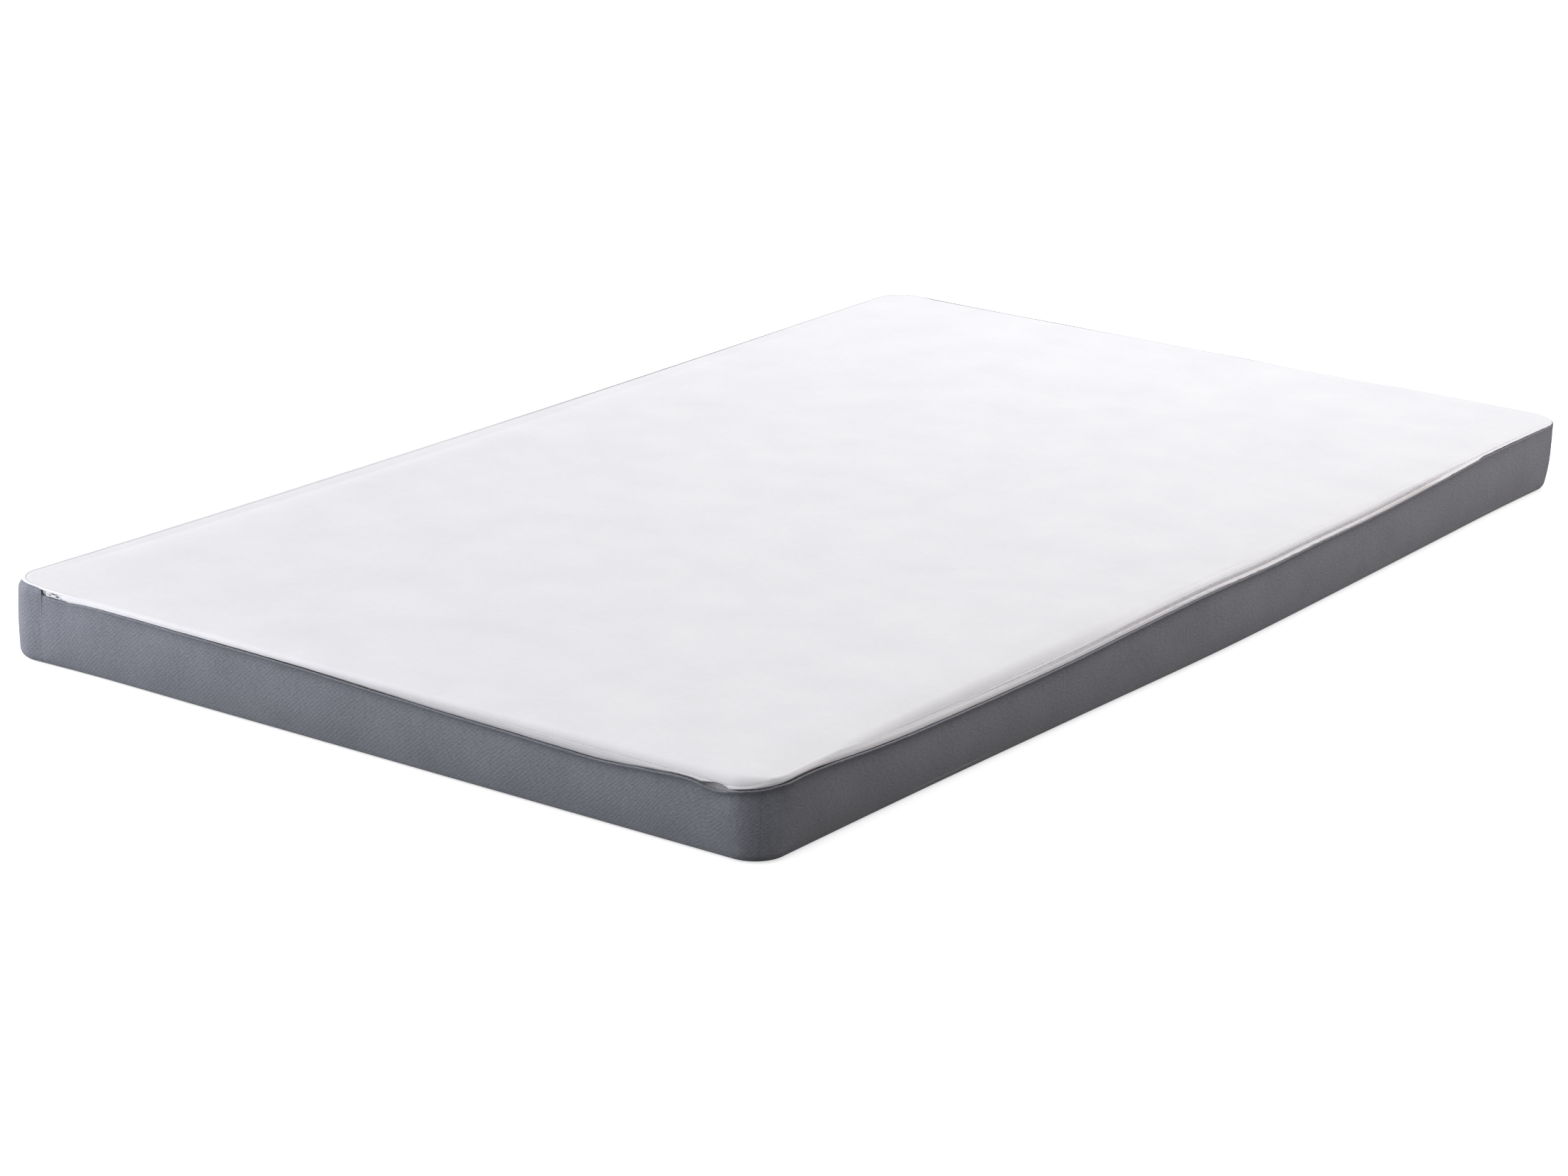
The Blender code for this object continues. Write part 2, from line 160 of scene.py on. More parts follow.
# How far the border's top edge and the top panel's lip are set in from the wall, in mm.
HEM_SET = [
    (0.0, 4.5),
    (0.03, 0.5),
    (0.08, 0.0),
    (HEAD_START, 0.0),
    (LEFT_START, 4.0),
    (LEFT_START + 1.9, 6.5),
]
LIP_SET = [
    (0.0, 4.5),
    (0.03, 0.5),
    (0.08, 0.0),
    (FOOT_RUN, 0.0),
    (RIGHT_START, 1.5),
    (RIGHT_START + 0.2, 4.0),
    (HEAD_START - ARC, 3.0),
    (HEAD_START, 1.0),
    (HEAD_START + 0.6, 2.0),
    (LEFT_START, 4.0),
    (LEFT_START + 1.9, 6.5),
]

# Reach of the top panel's rolled edge, in mm: softest on the left side.
ROLL = [
    (0.0, 12.0),
    (0.1, 10.0),
    (FOOT_RUN, 10.0),
    (RIGHT_START, 11.0),
    (RIGHT_START + 0.25, 15.0),
    (RIGHT_START + 0.60, 18.0),
    (RIGHT_START + 1.00, 18.0),
    (RIGHT_START + 1.45, 15.0),
    (HEAD_START - ARC, 11.0),
    (HEAD_START, 10.0),
    (HEAD_START + 0.3, 14.0),
    (LEFT_START - ARC, 20.0),
    (LEFT_START + 0.2, 28.0),
    (LEFT_START + 1.4, 32.0),
    (LEFT_START + 1.85, 20.0),
]

BOTTOM_ROUND = 12 * MM
TUCK_HEIGHT = 72 * MM
FLAP = 1.3 * MM
FLAP_GAP = 0.25 * MM
TAPE_DEPTH = 4.9 * MM
COIL_DEPTH = 3.95 * MM
COIL_PITCH = 1.40075 * MM  # The slider's travel is a whole number of teeth.


# --- Plan path ---


def distances(start, end, step, arc_step, extra=()):
    """Distances along the plan, spaced by one step on the straights and another round the corners."""
    stops = [np.array([start, end, *extra])]
    for i, (a, b) in enumerate(zip(RUN_STARTS, [*RUN_STARTS[1:], PERIMETER])):
        count = round((b - a) / (arc_step if i % 2 else step))
        stops.append(np.linspace(a, b, count, endpoint=False))
    stops = np.unique(np.concatenate(stops).round(7))
    return stops[(stops >= round(start, 7)) & (stops <= round(end, 7))]


def rows_at(at):
    """Rows of (arc centre or foot point x, y, outward angle, distance) at distances along the plan."""
    run = np.searchsorted(RUN_STARTS, at + 1e-7, side="right") - 1
    past = at - RUN_STARTS[run]
    facing = math.pi / 2 * (3 + run // 2)
    straight = run % 2 == 0
    ahead = np.column_stack([-np.sin(facing), np.cos(facing)])
    centre = np.array(RUN_SIGNS)[run] * (HALF_X, HALF_Y) + ahead * np.where(straight, past, 0)[:, None]
    return np.column_stack([centre, facing + np.where(straight, 0, past / CORNER_RADIUS), at])


def through(points, where):
    """A smooth closed curve through (distance, value) points, read at the given distances."""
    at, value = np.array(points, float).T
    at = np.concatenate([at[-2:] - PERIMETER, at, at[:2] + PERIMETER])
    value = np.concatenate([value[-2:], value, value[:2]])
    slope = np.gradient(value, at)
    i = np.clip(np.searchsorted(at, where) - 1, 0, len(at) - 2)
    gap = at[i + 1] - at[i]
    t = (where - at[i]) / gap
    ends = value[i] * (1 + 2 * t) * (1 - t) ** 2 + value[i + 1] * t * t * (3 - 2 * t)
    return ends + gap * (slope[i] * t * (1 - t) ** 2 - slope[i + 1] * t * t * (1 - t))


def eased(t):
    """0 to 1 with a soft start and end."""
    t = np.clip(t, 0, 1)
    return t * t * (3 - 2 * t)


def puckers(rows, seed, size):
    """Small uneven gathers along a seam."""
    waves = np.random.default_rng(seed)
    total = 0.0
    for length in (17, 29, 47, 83):
        total += np.sin(rows[:, 3] / (length * MM) * 2 * math.pi + waves.uniform(0, 6)) / 2
    return size * total


def level_line(rows):
    """Height of the zip line before any waviness."""
    across = (rows[:, 0] + HALF_X) / FOOT_RUN
    along = (HALF_Y - rows[:, 1]) / SIDE_RUN
    return LINE_HIGH - LINE_FALL * across * along


def chain_line(rows):
    """The line that the zip chain follows: straight where the slider travels, then with the hem."""
    free = eased((rows[:, 3] - FOOT_RUN) / (60 * MM))
    line = level_line(rows) + free * through(HEM_WAVE, rows[:, 3]) * MM
    return np.minimum(line, HEIGHT - LIP_RISE - 2.4 * MM)


def plain_seam(rows):
    """1 where the border is sewn straight to the top panel, 0 where the zip runs."""
    inside = np.minimum(rows[:, 3] - ZIP_START, ZIP_END - rows[:, 3])
    return eased(1 - inside / (3.5 * MM))


def lip_line(rows):
    """Height of the top panel's folded lip."""
    return chain_line(rows) + LIP_RISE + 1.8 * MM * plain_seam(rows)


def hem_line(rows):
    """Height of the border's top edge: near the zip line, or up under the lip where the seam is plain."""
    zipped = level_line(rows) + through(HEM_WAVE, rows[:, 3]) * MM
    lip = lip_line(rows)
    mix = plain_seam(rows)
    return np.minimum(zipped, lip - 1.2 * MM) * (1 - mix) + (lip - 0.7 * MM) * mix


def flap_share(rows):
    """1 where the hem stands up over the zip as a flap, 0 where it ends at the chain."""
    return eased((hem_line(rows) - chain_line(rows) - 0.3 * MM) / (1.6 * MM)) * (1 - plain_seam(rows))


def lip_drop(rows):
    """How far the lip hangs over the chain: almost to the hem, but not where the slider parks."""
    parked = 0.0
    for station, reach in ((ZIP_START + 16 * MM, 17 * MM), (FOOT_RUN - 17 * MM, 7 * MM)):
        parked = parked + eased(1 - (np.abs(rows[:, 3] - station) - reach) / (16 * MM))
    room = np.maximum(lip_line(rows) - hem_line(rows) - FLAP_GAP, 0)
    return room * (1 - parked) * (1 - plain_seam(rows))


def plan_of(points):
    """Each point's centre in the rounded rectangle, its way out from there and its distance on the plan."""
    centre = np.clip(points[:, :2], (-HALF_X, -HALF_Y), (HALF_X, HALF_Y))
    out = points[:, :2] - centre
    turn = (np.degrees(np.arctan2(out[:, 1], out[:, 0])) + 90) % 360 / 90
    side = np.floor(turn).astype(int) % 4
    sides = [centre[:, 0] + HALF_X, centre[:, 1] + HALF_Y, HALF_X - centre[:, 0], HALF_Y - centre[:, 1]]
    return centre, out, RUN_STARTS[2 * side] + np.choose(side, sides) + (turn - side) * ARC


def bend(points):
    """Carry points from the plain rounded rectangle to the cover's shape."""
    centre, out, distance = plan_of(points)
    reach = np.hypot(*out.T)
    proud = through(BOW, distance) * MM * np.clip(reach / CORNER_RADIUS, 0, 1)
    low = np.clip(1 - points[:, 2] / TUCK_HEIGHT, 0, 1)
    new_reach = np.maximum(reach + proud - through(TUCK, distance) * MM * low**2, 0)
    scale = new_reach / np.maximum(reach, 1e-9)
    return np.column_stack([centre + out * scale[:, None], points[:, 2]])


def clear_of_rim(points):
    """Draw the upper points of what is inside the cover in and down, under the top panel's rolled edge."""
    centre, out, distance = plan_of(points)
    reach = np.hypot(*out.T)
    high = eased((points[:, 2] - 0.7 * HEIGHT) / (0.2 * HEIGHT))
    pull = high * (through(LIP_SET, distance) + 3.0) * MM
    sink = high * eased((reach - 10 * MM) / (40 * MM)) * 4.5 * MM
    scale = np.maximum(reach - pull, 0) / np.maximum(reach, 1e-9)
    return np.column_stack([centre + out * scale[:, None], points[:, 2] - sink])


def place(rows, depth, height):
    """Points at a depth inwards from the outer plane and a height, one for each row."""
    reach = CORNER_RADIUS - depth
    x = rows[:, 0] + reach * np.cos(rows[:, 2])
    y = rows[:, 1] + reach * np.sin(rows[:, 2])
    return bend(np.column_stack([x, y, np.broadcast_to(height, len(rows))]))


# --- Meshes ---


def new_piece(name, verts, faces, material, smooth=True):
    """A mesh object in the scene."""
    mesh = bpy.data.meshes.new(name)
    mesh.from_pydata([tuple(v) for v in verts], [], faces)
    mesh.materials.append(material)
    if smooth:
        mesh.shade_smooth()
    piece = bpy.data.objects.new(name, mesh)
    bpy.context.scene.collection.objects.link(piece)
    return piece


def weave(name, layers, at, material, closed=False):
    """A sheet through layers of points. Its UV, in metres, runs along the path and down the layers."""
    levels, count = layers.shape[:2]
    lengths = np.zeros((levels, count))
    lengths[1:] = np.cumsum(np.linalg.norm(np.diff(layers, axis=0), axis=2), axis=0)
    lengths -= lengths[-1]
    along = np.append(at, PERIMETER)
    faces, uvs = [], []
    for level in range(levels - 1):
        low, high = level * count, (level + 1) * count
        for i in range(count if closed else count - 1):
            j = (i + 1) % count
            faces.append((low + i, low + j, high + j, high + i))
            uvs += [(along[i], lengths[level, i]), (along[i + 1], lengths[level, j])]
            uvs += [(along[i + 1], lengths[level + 1, j]), (along[i], lengths[level + 1, i])]
    piece = new_piece(name, layers.reshape(-1, 3), faces, material)
    layer = piece.data.uv_layers.new(name="weave")
    layer.data.foreach_set("uv", np.array(uvs, np.float32).ravel())
    return piece


def carry(name, at, section, material, closed=False):
    """A sheet: the section's points carried along the plan."""
    rows = rows_at(at)
    layers = np.array([place(rows, depth, height) for depth, height in section(rows)])
    return weave(name, layers, at, material, closed)


def apply_modifiers(piece):
    """Replace a piece's mesh with what its modifiers make of it."""
    depsgraph = bpy.context.evaluated_depsgraph_get()
    mesh = bpy.data.meshes.new_from_object(piece.evaluated_get(depsgraph))
    piece.modifiers.clear()
    piece.data = mesh


def thicken(piece, thickness):
    """Give a sheet its thickness inwards, closed round its edges."""
    solid = piece.modifiers.new("thickness", "SOLIDIFY")
    solid.thickness = thickness
    solid.offset = -1.0
    apply_modifiers(piece)


def coordinates(mesh):
    """Vertex coordinates as rows."""
    flat = np.empty(len(mesh.vertices) * 3)
    mesh.vertices.foreach_get("co", flat)
    return flat.reshape(-1, 3)


def inflate(piece, pressure, most, slack=0.0):
    """Let the foam's push fill the fabric between its pinned seams. No point moves further than a limit."""
    scene = bpy.context.scene
    cloth = piece.modifiers.new("cloth", "CLOTH")
    cloth.point_cache.frame_start = 1
    cloth.point_cache.frame_end = 20
    settings = cloth.settings
    settings.vertex_group_mass = "pinned"
    settings.quality = 4
    settings.mass = 0.3
    settings.tension_stiffness = 20
    settings.compression_stiffness = 20
    settings.bending_stiffness = 1.0
    settings.use_pressure = True
    settings.uniform_pressure_force = pressure
    settings.effector_weights.gravity = 0
    settings.shrink_min = -slack
    for number in range(1, 21):
        scene.frame_set(number)
    depsgraph = bpy.context.evaluated_depsgraph_get()
    rest = coordinates(piece.data)
    shift = coordinates(piece.evaluated_get(depsgraph).data) - rest
    piece.modifiers.clear()
    scene.frame_set(1)
    length = np.linalg.norm(shift, axis=1, keepdims=True)
    capped = rest + shift * most * np.tanh(length / most) / np.maximum(length, 1e-9)
    piece.data.vertices.foreach_set("co", capped.ravel())


def finish(piece, slot_name, *nodes, body="mattress"):
    """Hang a piece on the empty of the body it rides on and hide the CAD nodes it stands for; slot_name is
    not used.
    """
    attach(piece, body)
    if nodes:
        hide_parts(*nodes)


# --- Repeated shapes ---


def add(tree, kind, inputs=None, **settings):
    """Add a node with its settings, and set or link its inputs."""
    node = tree.nodes.new(kind)
    for key, value in settings.items():
        setattr(node, key, value)
    for key, value in (inputs or {}).items():
        if isinstance(value, bpy.types.NodeSocket):
            tree.links.new(value, node.inputs[key])
        else:
            node.inputs[key].default_value = value
    return node


def repeat_tree():
    """A node group that sets a shape on every point, lined up with the point's own axes."""
    tree = bpy.data.node_groups.new("repeat_on_points", "GeometryNodeTree")
    keys = {}
    for name, kind in (
        ("Points", "NodeSocketGeometry"),
        ("Shape", "NodeSocketObject"),
        ("Unevenness", "NodeSocketFloat"),
        ("Seed", "NodeSocketInt"),
        ("Material", "NodeSocketMaterial"),
    ):
        keys[name] = tree.interface.new_socket(name, in_out="INPUT", socket_type=kind).identifier
    tree.interface.new_socket("Mesh", in_out="OUTPUT", socket_type="NodeSocketGeometry")
    source = add(tree, "NodeGroupInput")
    along = add(tree, "GeometryNodeInputNamedAttribute", {"Name": "along"}, data_type="FLOAT_VECTOR")
    outward = add(tree, "GeometryNodeInputNamedAttribute", {"Name": "outward"}, data_type="FLOAT_VECTOR")
    axes = add(
        tree,
        "FunctionNodeAxesToRotation",
        {"Primary Axis": along.outputs["Attribute"], "Secondary Axis": outward.outputs["Attribute"]},
        primary_axis="X",
        secondary_axis="Y",
    )
    least = add(tree, "ShaderNodeMath", {0: 1.0, 1: source.outputs["Unevenness"]}, operation="SUBTRACT")
    size = add(
        tree,
        "FunctionNodeRandomValue",
        {2: least.outputs[0], 3: 1.0, "Seed": source.outputs["Seed"]},
        data_type="FLOAT",
    )
    shape = add(tree, "GeometryNodeObjectInfo", {"Object": source.outputs["Shape"]})
    placed = add(
        tree,
        "GeometryNodeInstanceOnPoints",
        {
            "Points": source.outputs["Points"],
            "Instance": shape.outputs["Geometry"],
            "Rotation": axes.outputs["Rotation"],
            "Scale": size.outputs[1],
        },
    )
    real = add(tree, "GeometryNodeRealizeInstances", {"Geometry": placed.outputs["Instances"]})
    painted = add(
        tree,
        "GeometryNodeSetMaterial",
        {"Geometry": real.outputs["Geometry"], "Material": source.outputs["Material"]},
    )
    add(tree, "NodeGroupOutput", {0: painted.outputs["Geometry"]})
    return tree, keys


REPEATS = repeat_tree()


def repeat(name, points, along, outward, shape, material, unevenness=0.0, seed=1):
    """A mesh of one shape repeated on points, its X along the row and its Y away from the surface."""
    tree, keys = REPEATS
    piece = new_piece(name, points, [], material)
    for key, values in (("along", along), ("outward", outward)):
        attribute = piece.data.attributes.new(key, "FLOAT_VECTOR", "POINT")
        attribute.data.foreach_set("vector", np.asarray(values, np.float32).ravel())
    modifier = piece.modifiers.new("repeats", "NODES")
    modifier.node_group = tree
    modifier[keys["Shape"]] = shape
    modifier[keys["Unevenness"]] = unevenness
    modifier[keys["Seed"]] = seed
    modifier[keys["Material"]] = material
    apply_modifiers(piece)
    piece.data.shade_smooth()
    bpy.data.objects.remove(shape)
    return piece


def tube(name, centres, normals, sides, radii, material, closed=False):
    """A tube round a path in the YZ plane, given the path's normals in that plane."""
    verts, faces = [], []
    for (x, y, z), (ny, nz), radius in zip(centres, normals, radii):
        for k in range(sides):
            turn = 2 * math.pi * (k + 0.5) / sides
            swing = radius * math.sin(turn)
            verts.append((x + radius * math.cos(turn), y + ny * swing, z + nz * swing))
    count = len(centres)
    for i in range(count if closed else count - 1):
        j = (i + 1) % count
        for k in range(sides):
            m = (k + 1) % sides
            faces.append((i * sides + k, i * sides + m, j * sides + m, j * sides + k))
    if not closed:
        faces.append(tuple(reversed(range(sides))))
        faces.append(tuple(range((count - 1) * sides, count * sides)))
    return new_piece(name, verts, faces, material)


def stitch_shape(length, width):
    """One lockstitch: a thread that rises from the cloth, lies along it and dives back, X along the row."""
    verts, faces = [], []
    sides = 6
    profile = ((-0.5, -0.6, 0.45), (-0.4, 0.05, 0.9), (0.0, 0.2, 1.0), (0.4, 0.05, 0.9), (0.5, -0.6, 0.45))
    for x, y, size in profile:
        for k in range(sides):
            turn = 2 * math.pi * k / sides
            radius = size * width / 2
            verts.append((x * length, y * width + radius * math.cos(turn), radius * math.sin(turn)))
    for i in range(4):
        for k in range(sides):
            m = (k + 1) % sides
            faces.append((i * sides + k, i * sides + m, (i + 1) * sides + m, (i + 1) * sides + k))
    faces.append(tuple(reversed(range(sides))))
    faces.append(tuple(range(4 * sides, 5 * sides)))
    return new_piece("stitch", verts, faces, MATERIALS["white_tape"])


def tooth_shape(rise):
    """One turn of the coil: a closed loop of monofilament, its head towards the other coil."""
    half_depth, back, head = 0.5 * MM, -1.15 * MM * rise, 1.15 * MM * rise
    loop = [
        (half_depth, back + 0.4 * MM * rise),
        (half_depth, head - 0.5 * MM * rise),
        (0.0, head),
        (-half_depth, head - 0.5 * MM * rise),
        (-half_depth, back + 0.4 * MM * rise),
        (0.0, back),
    ]
    normals = [(1, 0), (1, 0), (0, rise), (-1, 0), (-1, 0), (0, -rise)]
    radii = [0.3 * MM, 0.32 * MM, 0.36 * MM, 0.32 * MM, 0.3 * MM, 0.28 * MM]
    centres = [(0.0, y, z) for y, z in loop]
    return tube("tooth", centres, normals, 4, radii, MATERIALS["white_nylon"], closed=True)


def row_axes(at, seat):
    """Points along the plan at the seat's depth and height, with the row's direction and the way out."""
    rows, ahead = rows_at(at), rows_at(at + 0.5 * MM)
    points = place(rows, *seat(rows))
    along = place(ahead, *seat(ahead)) - points
    outward = np.column_stack([np.cos(rows[:, 2]), np.sin(rows[:, 2]), np.zeros(len(rows))])
    return points, along / np.linalg.norm(along, axis=1, keepdims=True), outward


# --- Materials ---


def linear(hex_colour):
    """Linear RGBA of an sRGB hex colour."""
    channels = [int(hex_colour[i : i + 2], 16) / 255 for i in (1, 3, 5)]
    return [c / 12.92 if c <= 0.04045 else ((c + 0.055) / 1.055) ** 2.4 for c in channels] + [1.0]


def new_material(name, **shader_values):
    """A material with one Principled shader, its uniform values set on the shader's own sockets."""
    material = bpy.data.materials.new(name)
    material.use_nodes = True
    shader = material.node_tree.nodes["Principled BSDF"]
    for key, value in shader_values.items():
        shader.inputs[key.replace("_", " ")].default_value = value
    return material, material.node_tree, shader


def bands(tree, vector, spacing, direction="X", distortion=0.0):
    """A wave texture whose bands lie a real spacing apart, in metres."""
    return add(
        tree,
        "ShaderNodeTexWave",
        {"Vector": vector, "Scale": math.pi / 10 / spacing, "Distortion": distortion},
        bands_direction=direction,
    ).outputs["Fac"]


def speckle(tree, vector, size, detail=2.0, roughness=0.5):
    """Noise whose features are about a real size across, in metres."""
    return add(
        tree,
        "ShaderNodeTexNoise",
        {"Vector": vector, "Scale": 1 / size, "Detail": detail, "Roughness": roughness},
    ).outputs["Fac"]


def maths(tree, operation, a, b=0.0, c=0.0):
    """One arithmetic step."""
    return add(tree, "ShaderNodeMath", {0: a, 1: b, 2: c}, operation=operation).outputs[0]


def turned(tree, vector, degrees, stretch=(1, 1, 1)):
    """Coordinates turned in their plane and stretched."""
    rotation = (0, 0, math.radians(degrees))
    mapping = add(tree, "ShaderNodeMapping", {"Vector": vector, "Rotation": rotation, "Scale": stretch})
    return mapping.outputs["Vector"]


def shade_between(tree, shader, value, low, high, dark, light):
    """Colour the shader from dark to light as a value goes from low to high."""
    ramp = add(tree, "ShaderNodeValToRGB", {"Fac": value})
    first, last = ramp.color_ramp.elements
    first.position, last.position = low, high
    first.color, last.color = linear(dark), linear(light)
    tree.links.new(ramp.outputs["Color"], shader.inputs["Base Color"])


def relief(tree, shader, height, distance, strength=1.0):
    """Drive the shader's normal from a height."""
    bump = add(tree, "ShaderNodeBump", {"Height": height, "Distance": distance, "Strength": strength})
    tree.links.new(bump.outputs["Normal"], shader.inputs["Normal"])


def grey_twill():
    """Solution-dyed polyester twill: soft matt, with diagonal ribs and paler and darker yarns mixed."""
    material, tree, shader = new_material(
        "grey_melange_twill", Roughness=0.88, Sheen_Weight=0.12, Sheen_Roughness=0.5, Specular_IOR_Level=0.25
    )
    cloth = add(tree, "ShaderNodeUVMap", uv_map="weave").outputs["UV"]
    leaning = turned(tree, cloth, 48)
    rib = bands(tree, leaning, 4.2 * MM, distortion=1.6)
    yarn = bands(tree, leaning, 1.4 * MM, distortion=0.5)
    crossing = bands(tree, cloth, 1.3 * MM, distortion=0.4)
    melange = speckle(tree, turned(tree, cloth, 48, (0.35, 1, 1)), 1.8 * MM, detail=3, roughness=0.7)
    cloud = speckle(tree, cloth, 70 * MM, detail=2)
    shade = maths(tree, "MULTIPLY_ADD", rib, 0.10, maths(tree, "MULTIPLY", melange, 1.15))
    shade = maths(tree, "MULTIPLY_ADD", cloud, 0.25, shade)
    shade_between(tree, shader, shade, 0.42, 1.02, "#64666e", "#8f919a")
    height = maths(tree, "MULTIPLY_ADD", rib, 0.35, maths(tree, "MULTIPLY", yarn, 0.4))
    height = maths(tree, "MULTIPLY_ADD", crossing, 0.3, height)
    height = maths(tree, "MULTIPLY_ADD", melange, 0.6, height)
    relief(tree, shader, height, 0.35 * MM, 0.8)
    return material


def white_knit():
    """Double-knit polyester, bleached white: smooth and matt, with faint courses and wales."""
    material, tree, shader = new_material(
        "white_double_knit", Roughness=0.9, Sheen_Weight=0.08, Sheen_Roughness=0.4, Specular_IOR_Level=0.2
    )
    spot = add(tree, "ShaderNodeTexCoord").outputs["Object"]
    wale = bands(tree, spot, 2.4 * MM, "X", distortion=0.6)
    course = bands(tree, spot, 1.8 * MM, "Y", distortion=0.6)
    fuzz = speckle(tree, spot, 1.2 * MM, detail=3)
    cloud = speckle(tree, spot, 90 * MM, detail=3)
    mottle = speckle(tree, spot, 9 * MM, detail=2)
    shade = maths(tree, "MULTIPLY_ADD", cloud, 0.5, maths(tree, "MULTIPLY", mottle, 0.25))
    shade = maths(tree, "MULTIPLY_ADD", maths(tree, "MULTIPLY", wale, course), 0.15, shade)
    shade_between(tree, shader, shade, 0.2, 0.75, "#e4e3e7", "#f0eff2")
    height = maths(tree, "MULTIPLY_ADD", wale, 0.5, maths(tree, "MULTIPLY", course, 0.35))
    height = maths(tree, "MULTIPLY_ADD", fuzz, 0.35, height)
    relief(tree, shader, height, 0.16 * MM, 0.7)
    return material


def grey_backing():
    """Plain-woven polyester base cloth with small raised grip dots."""
    material, tree, shader = new_material("grey_base_cloth", Roughness=0.85, Specular_IOR_Level=0.25)
    spot = add(tree, "ShaderNodeTexCoord").outputs["Object"]
    warp = bands(tree, spot, 1.6 * MM, "X", distortion=0.5)
    weft = bands(tree, spot, 1.6 * MM, "Y", distortion=0.5)
    melange = speckle(tree, spot, 2.0 * MM, detail=3)
    dots = add(tree, "ShaderNodeTexVoronoi", {"Vector": spot, "Scale": 1 / (9 * MM), "Randomness": 0.0})
    dot = maths(tree, "LESS_THAN", dots.outputs["Distance"], 0.22)
    shade = maths(tree, "MULTIPLY_ADD", warp, 0.2, maths(tree, "MULTIPLY", weft, 0.2))
    shade = maths(tree, "MULTIPLY_ADD", melange, 0.8, shade)
    shade = maths(tree, "MULTIPLY_ADD", dot, -0.35, shade)
    shade_between(tree, shader, shade, 0.2, 1.0, "#565860", "#7c7e87")
    height = maths(tree, "MULTIPLY_ADD", warp, 0.5, maths(tree, "MULTIPLY", weft, 0.5))
    relief(tree, shader, maths(tree, "MULTIPLY_ADD", dot, 1.5, height), 0.25 * MM, 0.8)
    return material


def white_tape():
    """Woven polyester herringbone tape, white."""
    material, tree, shader = new_material("white_woven_tape", Roughness=0.8, Specular_IOR_Level=0.3)
    spot = add(tree, "ShaderNodeTexCoord").outputs["Object"]
    warp = bands(tree, spot, 0.7 * MM, "Z", distortion=0.3)
    weft = bands(tree, spot, 0.9 * MM, "DIAGONAL", distortion=0.3)
    tone = speckle(tree, spot, 6 * MM)
    shade_between(tree, shader, tone, 0.25, 0.75, "#dddce1", "#f1f0f4")
    relief(tree, shader, maths(tree, "ADD", warp, weft), 0.15 * MM, 0.7)
    return material


def white_nylon():
    """Nylon monofilament: milky and a little glossy."""
    material, tree, shader = new_material(
        "milky_nylon", Roughness=0.4, IOR=1.53, Subsurface_Weight=0.15, Subsurface_Scale=0.001
    )
    spot = add(tree, "ShaderNodeTexCoord").outputs["Object"]
    tone = speckle(tree, spot, 4 * MM)
    shade_between(tree, shader, tone, 0.25, 0.75, "#dcdbdf", "#eeedf0")
    return material


def white_enamel():
    """Zinc casting under white baked enamel: smooth, with a faint orange peel."""
    material, tree, shader = new_material("white_baked_enamel", IOR=1.5, Coat_Weight=0.4, Coat_Roughness=0.12)
    spot = add(tree, "ShaderNodeTexCoord").outputs["Object"]
    tone = speckle(tree, spot, 3 * MM)
    shade_between(tree, shader, tone, 0.2, 0.8, "#d9d8dc", "#e9e8ec")
    rough = maths(tree, "MULTIPLY_ADD", speckle(tree, spot, 1.5 * MM, detail=3), 0.3, 0.2)
    tree.links.new(rough, shader.inputs["Roughness"])
    relief(tree, shader, speckle(tree, spot, 0.6 * MM), 0.02 * MM, 0.5)
    return material


def liner_jersey():
    """Thin off-white cotton jersey round the foam."""
    material, tree, shader = new_material("thin_cotton_jersey", Roughness=0.9, Specular_IOR_Level=0.2)
    spot = add(tree, "ShaderNodeTexCoord").outputs["Object"]
    wale = bands(tree, spot, 1.5 * MM, "X", distortion=0.5)
    shade_between(tree, shader, speckle(tree, spot, 30 * MM), 0.25, 0.75, "#dedbd2", "#ebe8e0")
    relief(tree, shader, wale, 0.1 * MM, 0.6)
    return material


def foam(name, dark, light, cell):
    """Open-cell polyurethane foam: dusty matt with small pores."""
    material, tree, shader = new_material(name, Roughness=0.95, Specular_IOR_Level=0.15)
    spot = add(tree, "ShaderNodeTexCoord").outputs["Object"]
    pores = add(tree, "ShaderNodeTexVoronoi", {"Vector": spot, "Scale": 1 / cell}).outputs["Distance"]
    tone = maths(tree, "MULTIPLY_ADD", pores, 0.4, maths(tree, "MULTIPLY", speckle(tree, spot, 60 * MM), 0.8))
    shade_between(tree, shader, tone, 0.2, 0.9, dark, light)
    relief(tree, shader, pores, 0.4 * MM, 0.8)
    return material


def label_satin():
    """Polyester satin ribbon, white, with a soft sheen across its floats."""
    material, tree, shader = new_material(
        "white_satin_ribbon", Roughness=0.45, Sheen_Weight=0.2, Anisotropic=0.4, Specular_IOR_Level=0.4
    )
    spot = add(tree, "ShaderNodeTexCoord").outputs["Object"]
    rib = bands(tree, spot, 0.5 * MM, "Z", distortion=0.2)
    shade_between(tree, shader, speckle(tree, spot, 5 * MM), 0.25, 0.75, "#e6e5e8", "#f3f2f4")
    relief(tree, shader, rib, 0.05 * MM, 0.5)
    return material


MATERIALS = {
    "grey_twill": grey_twill(),
    "white_knit": white_knit(),
    "grey_backing": grey_backing(),
    "white_tape": white_tape(),
    "white_nylon": white_nylon(),
    "white_enamel": white_enamel(),
    "liner_jersey": liner_jersey(),
    "support_foam": foam("firm_white_foam", "#cfccc2", "#e6e3da", 1.6 * MM),
    "memory_foam": foam("slow_cream_foam", "#d8cfb4", "#ece4cb", 1.1 * MM),
    "label_satin": label_satin(),
}


# --- Cover ---


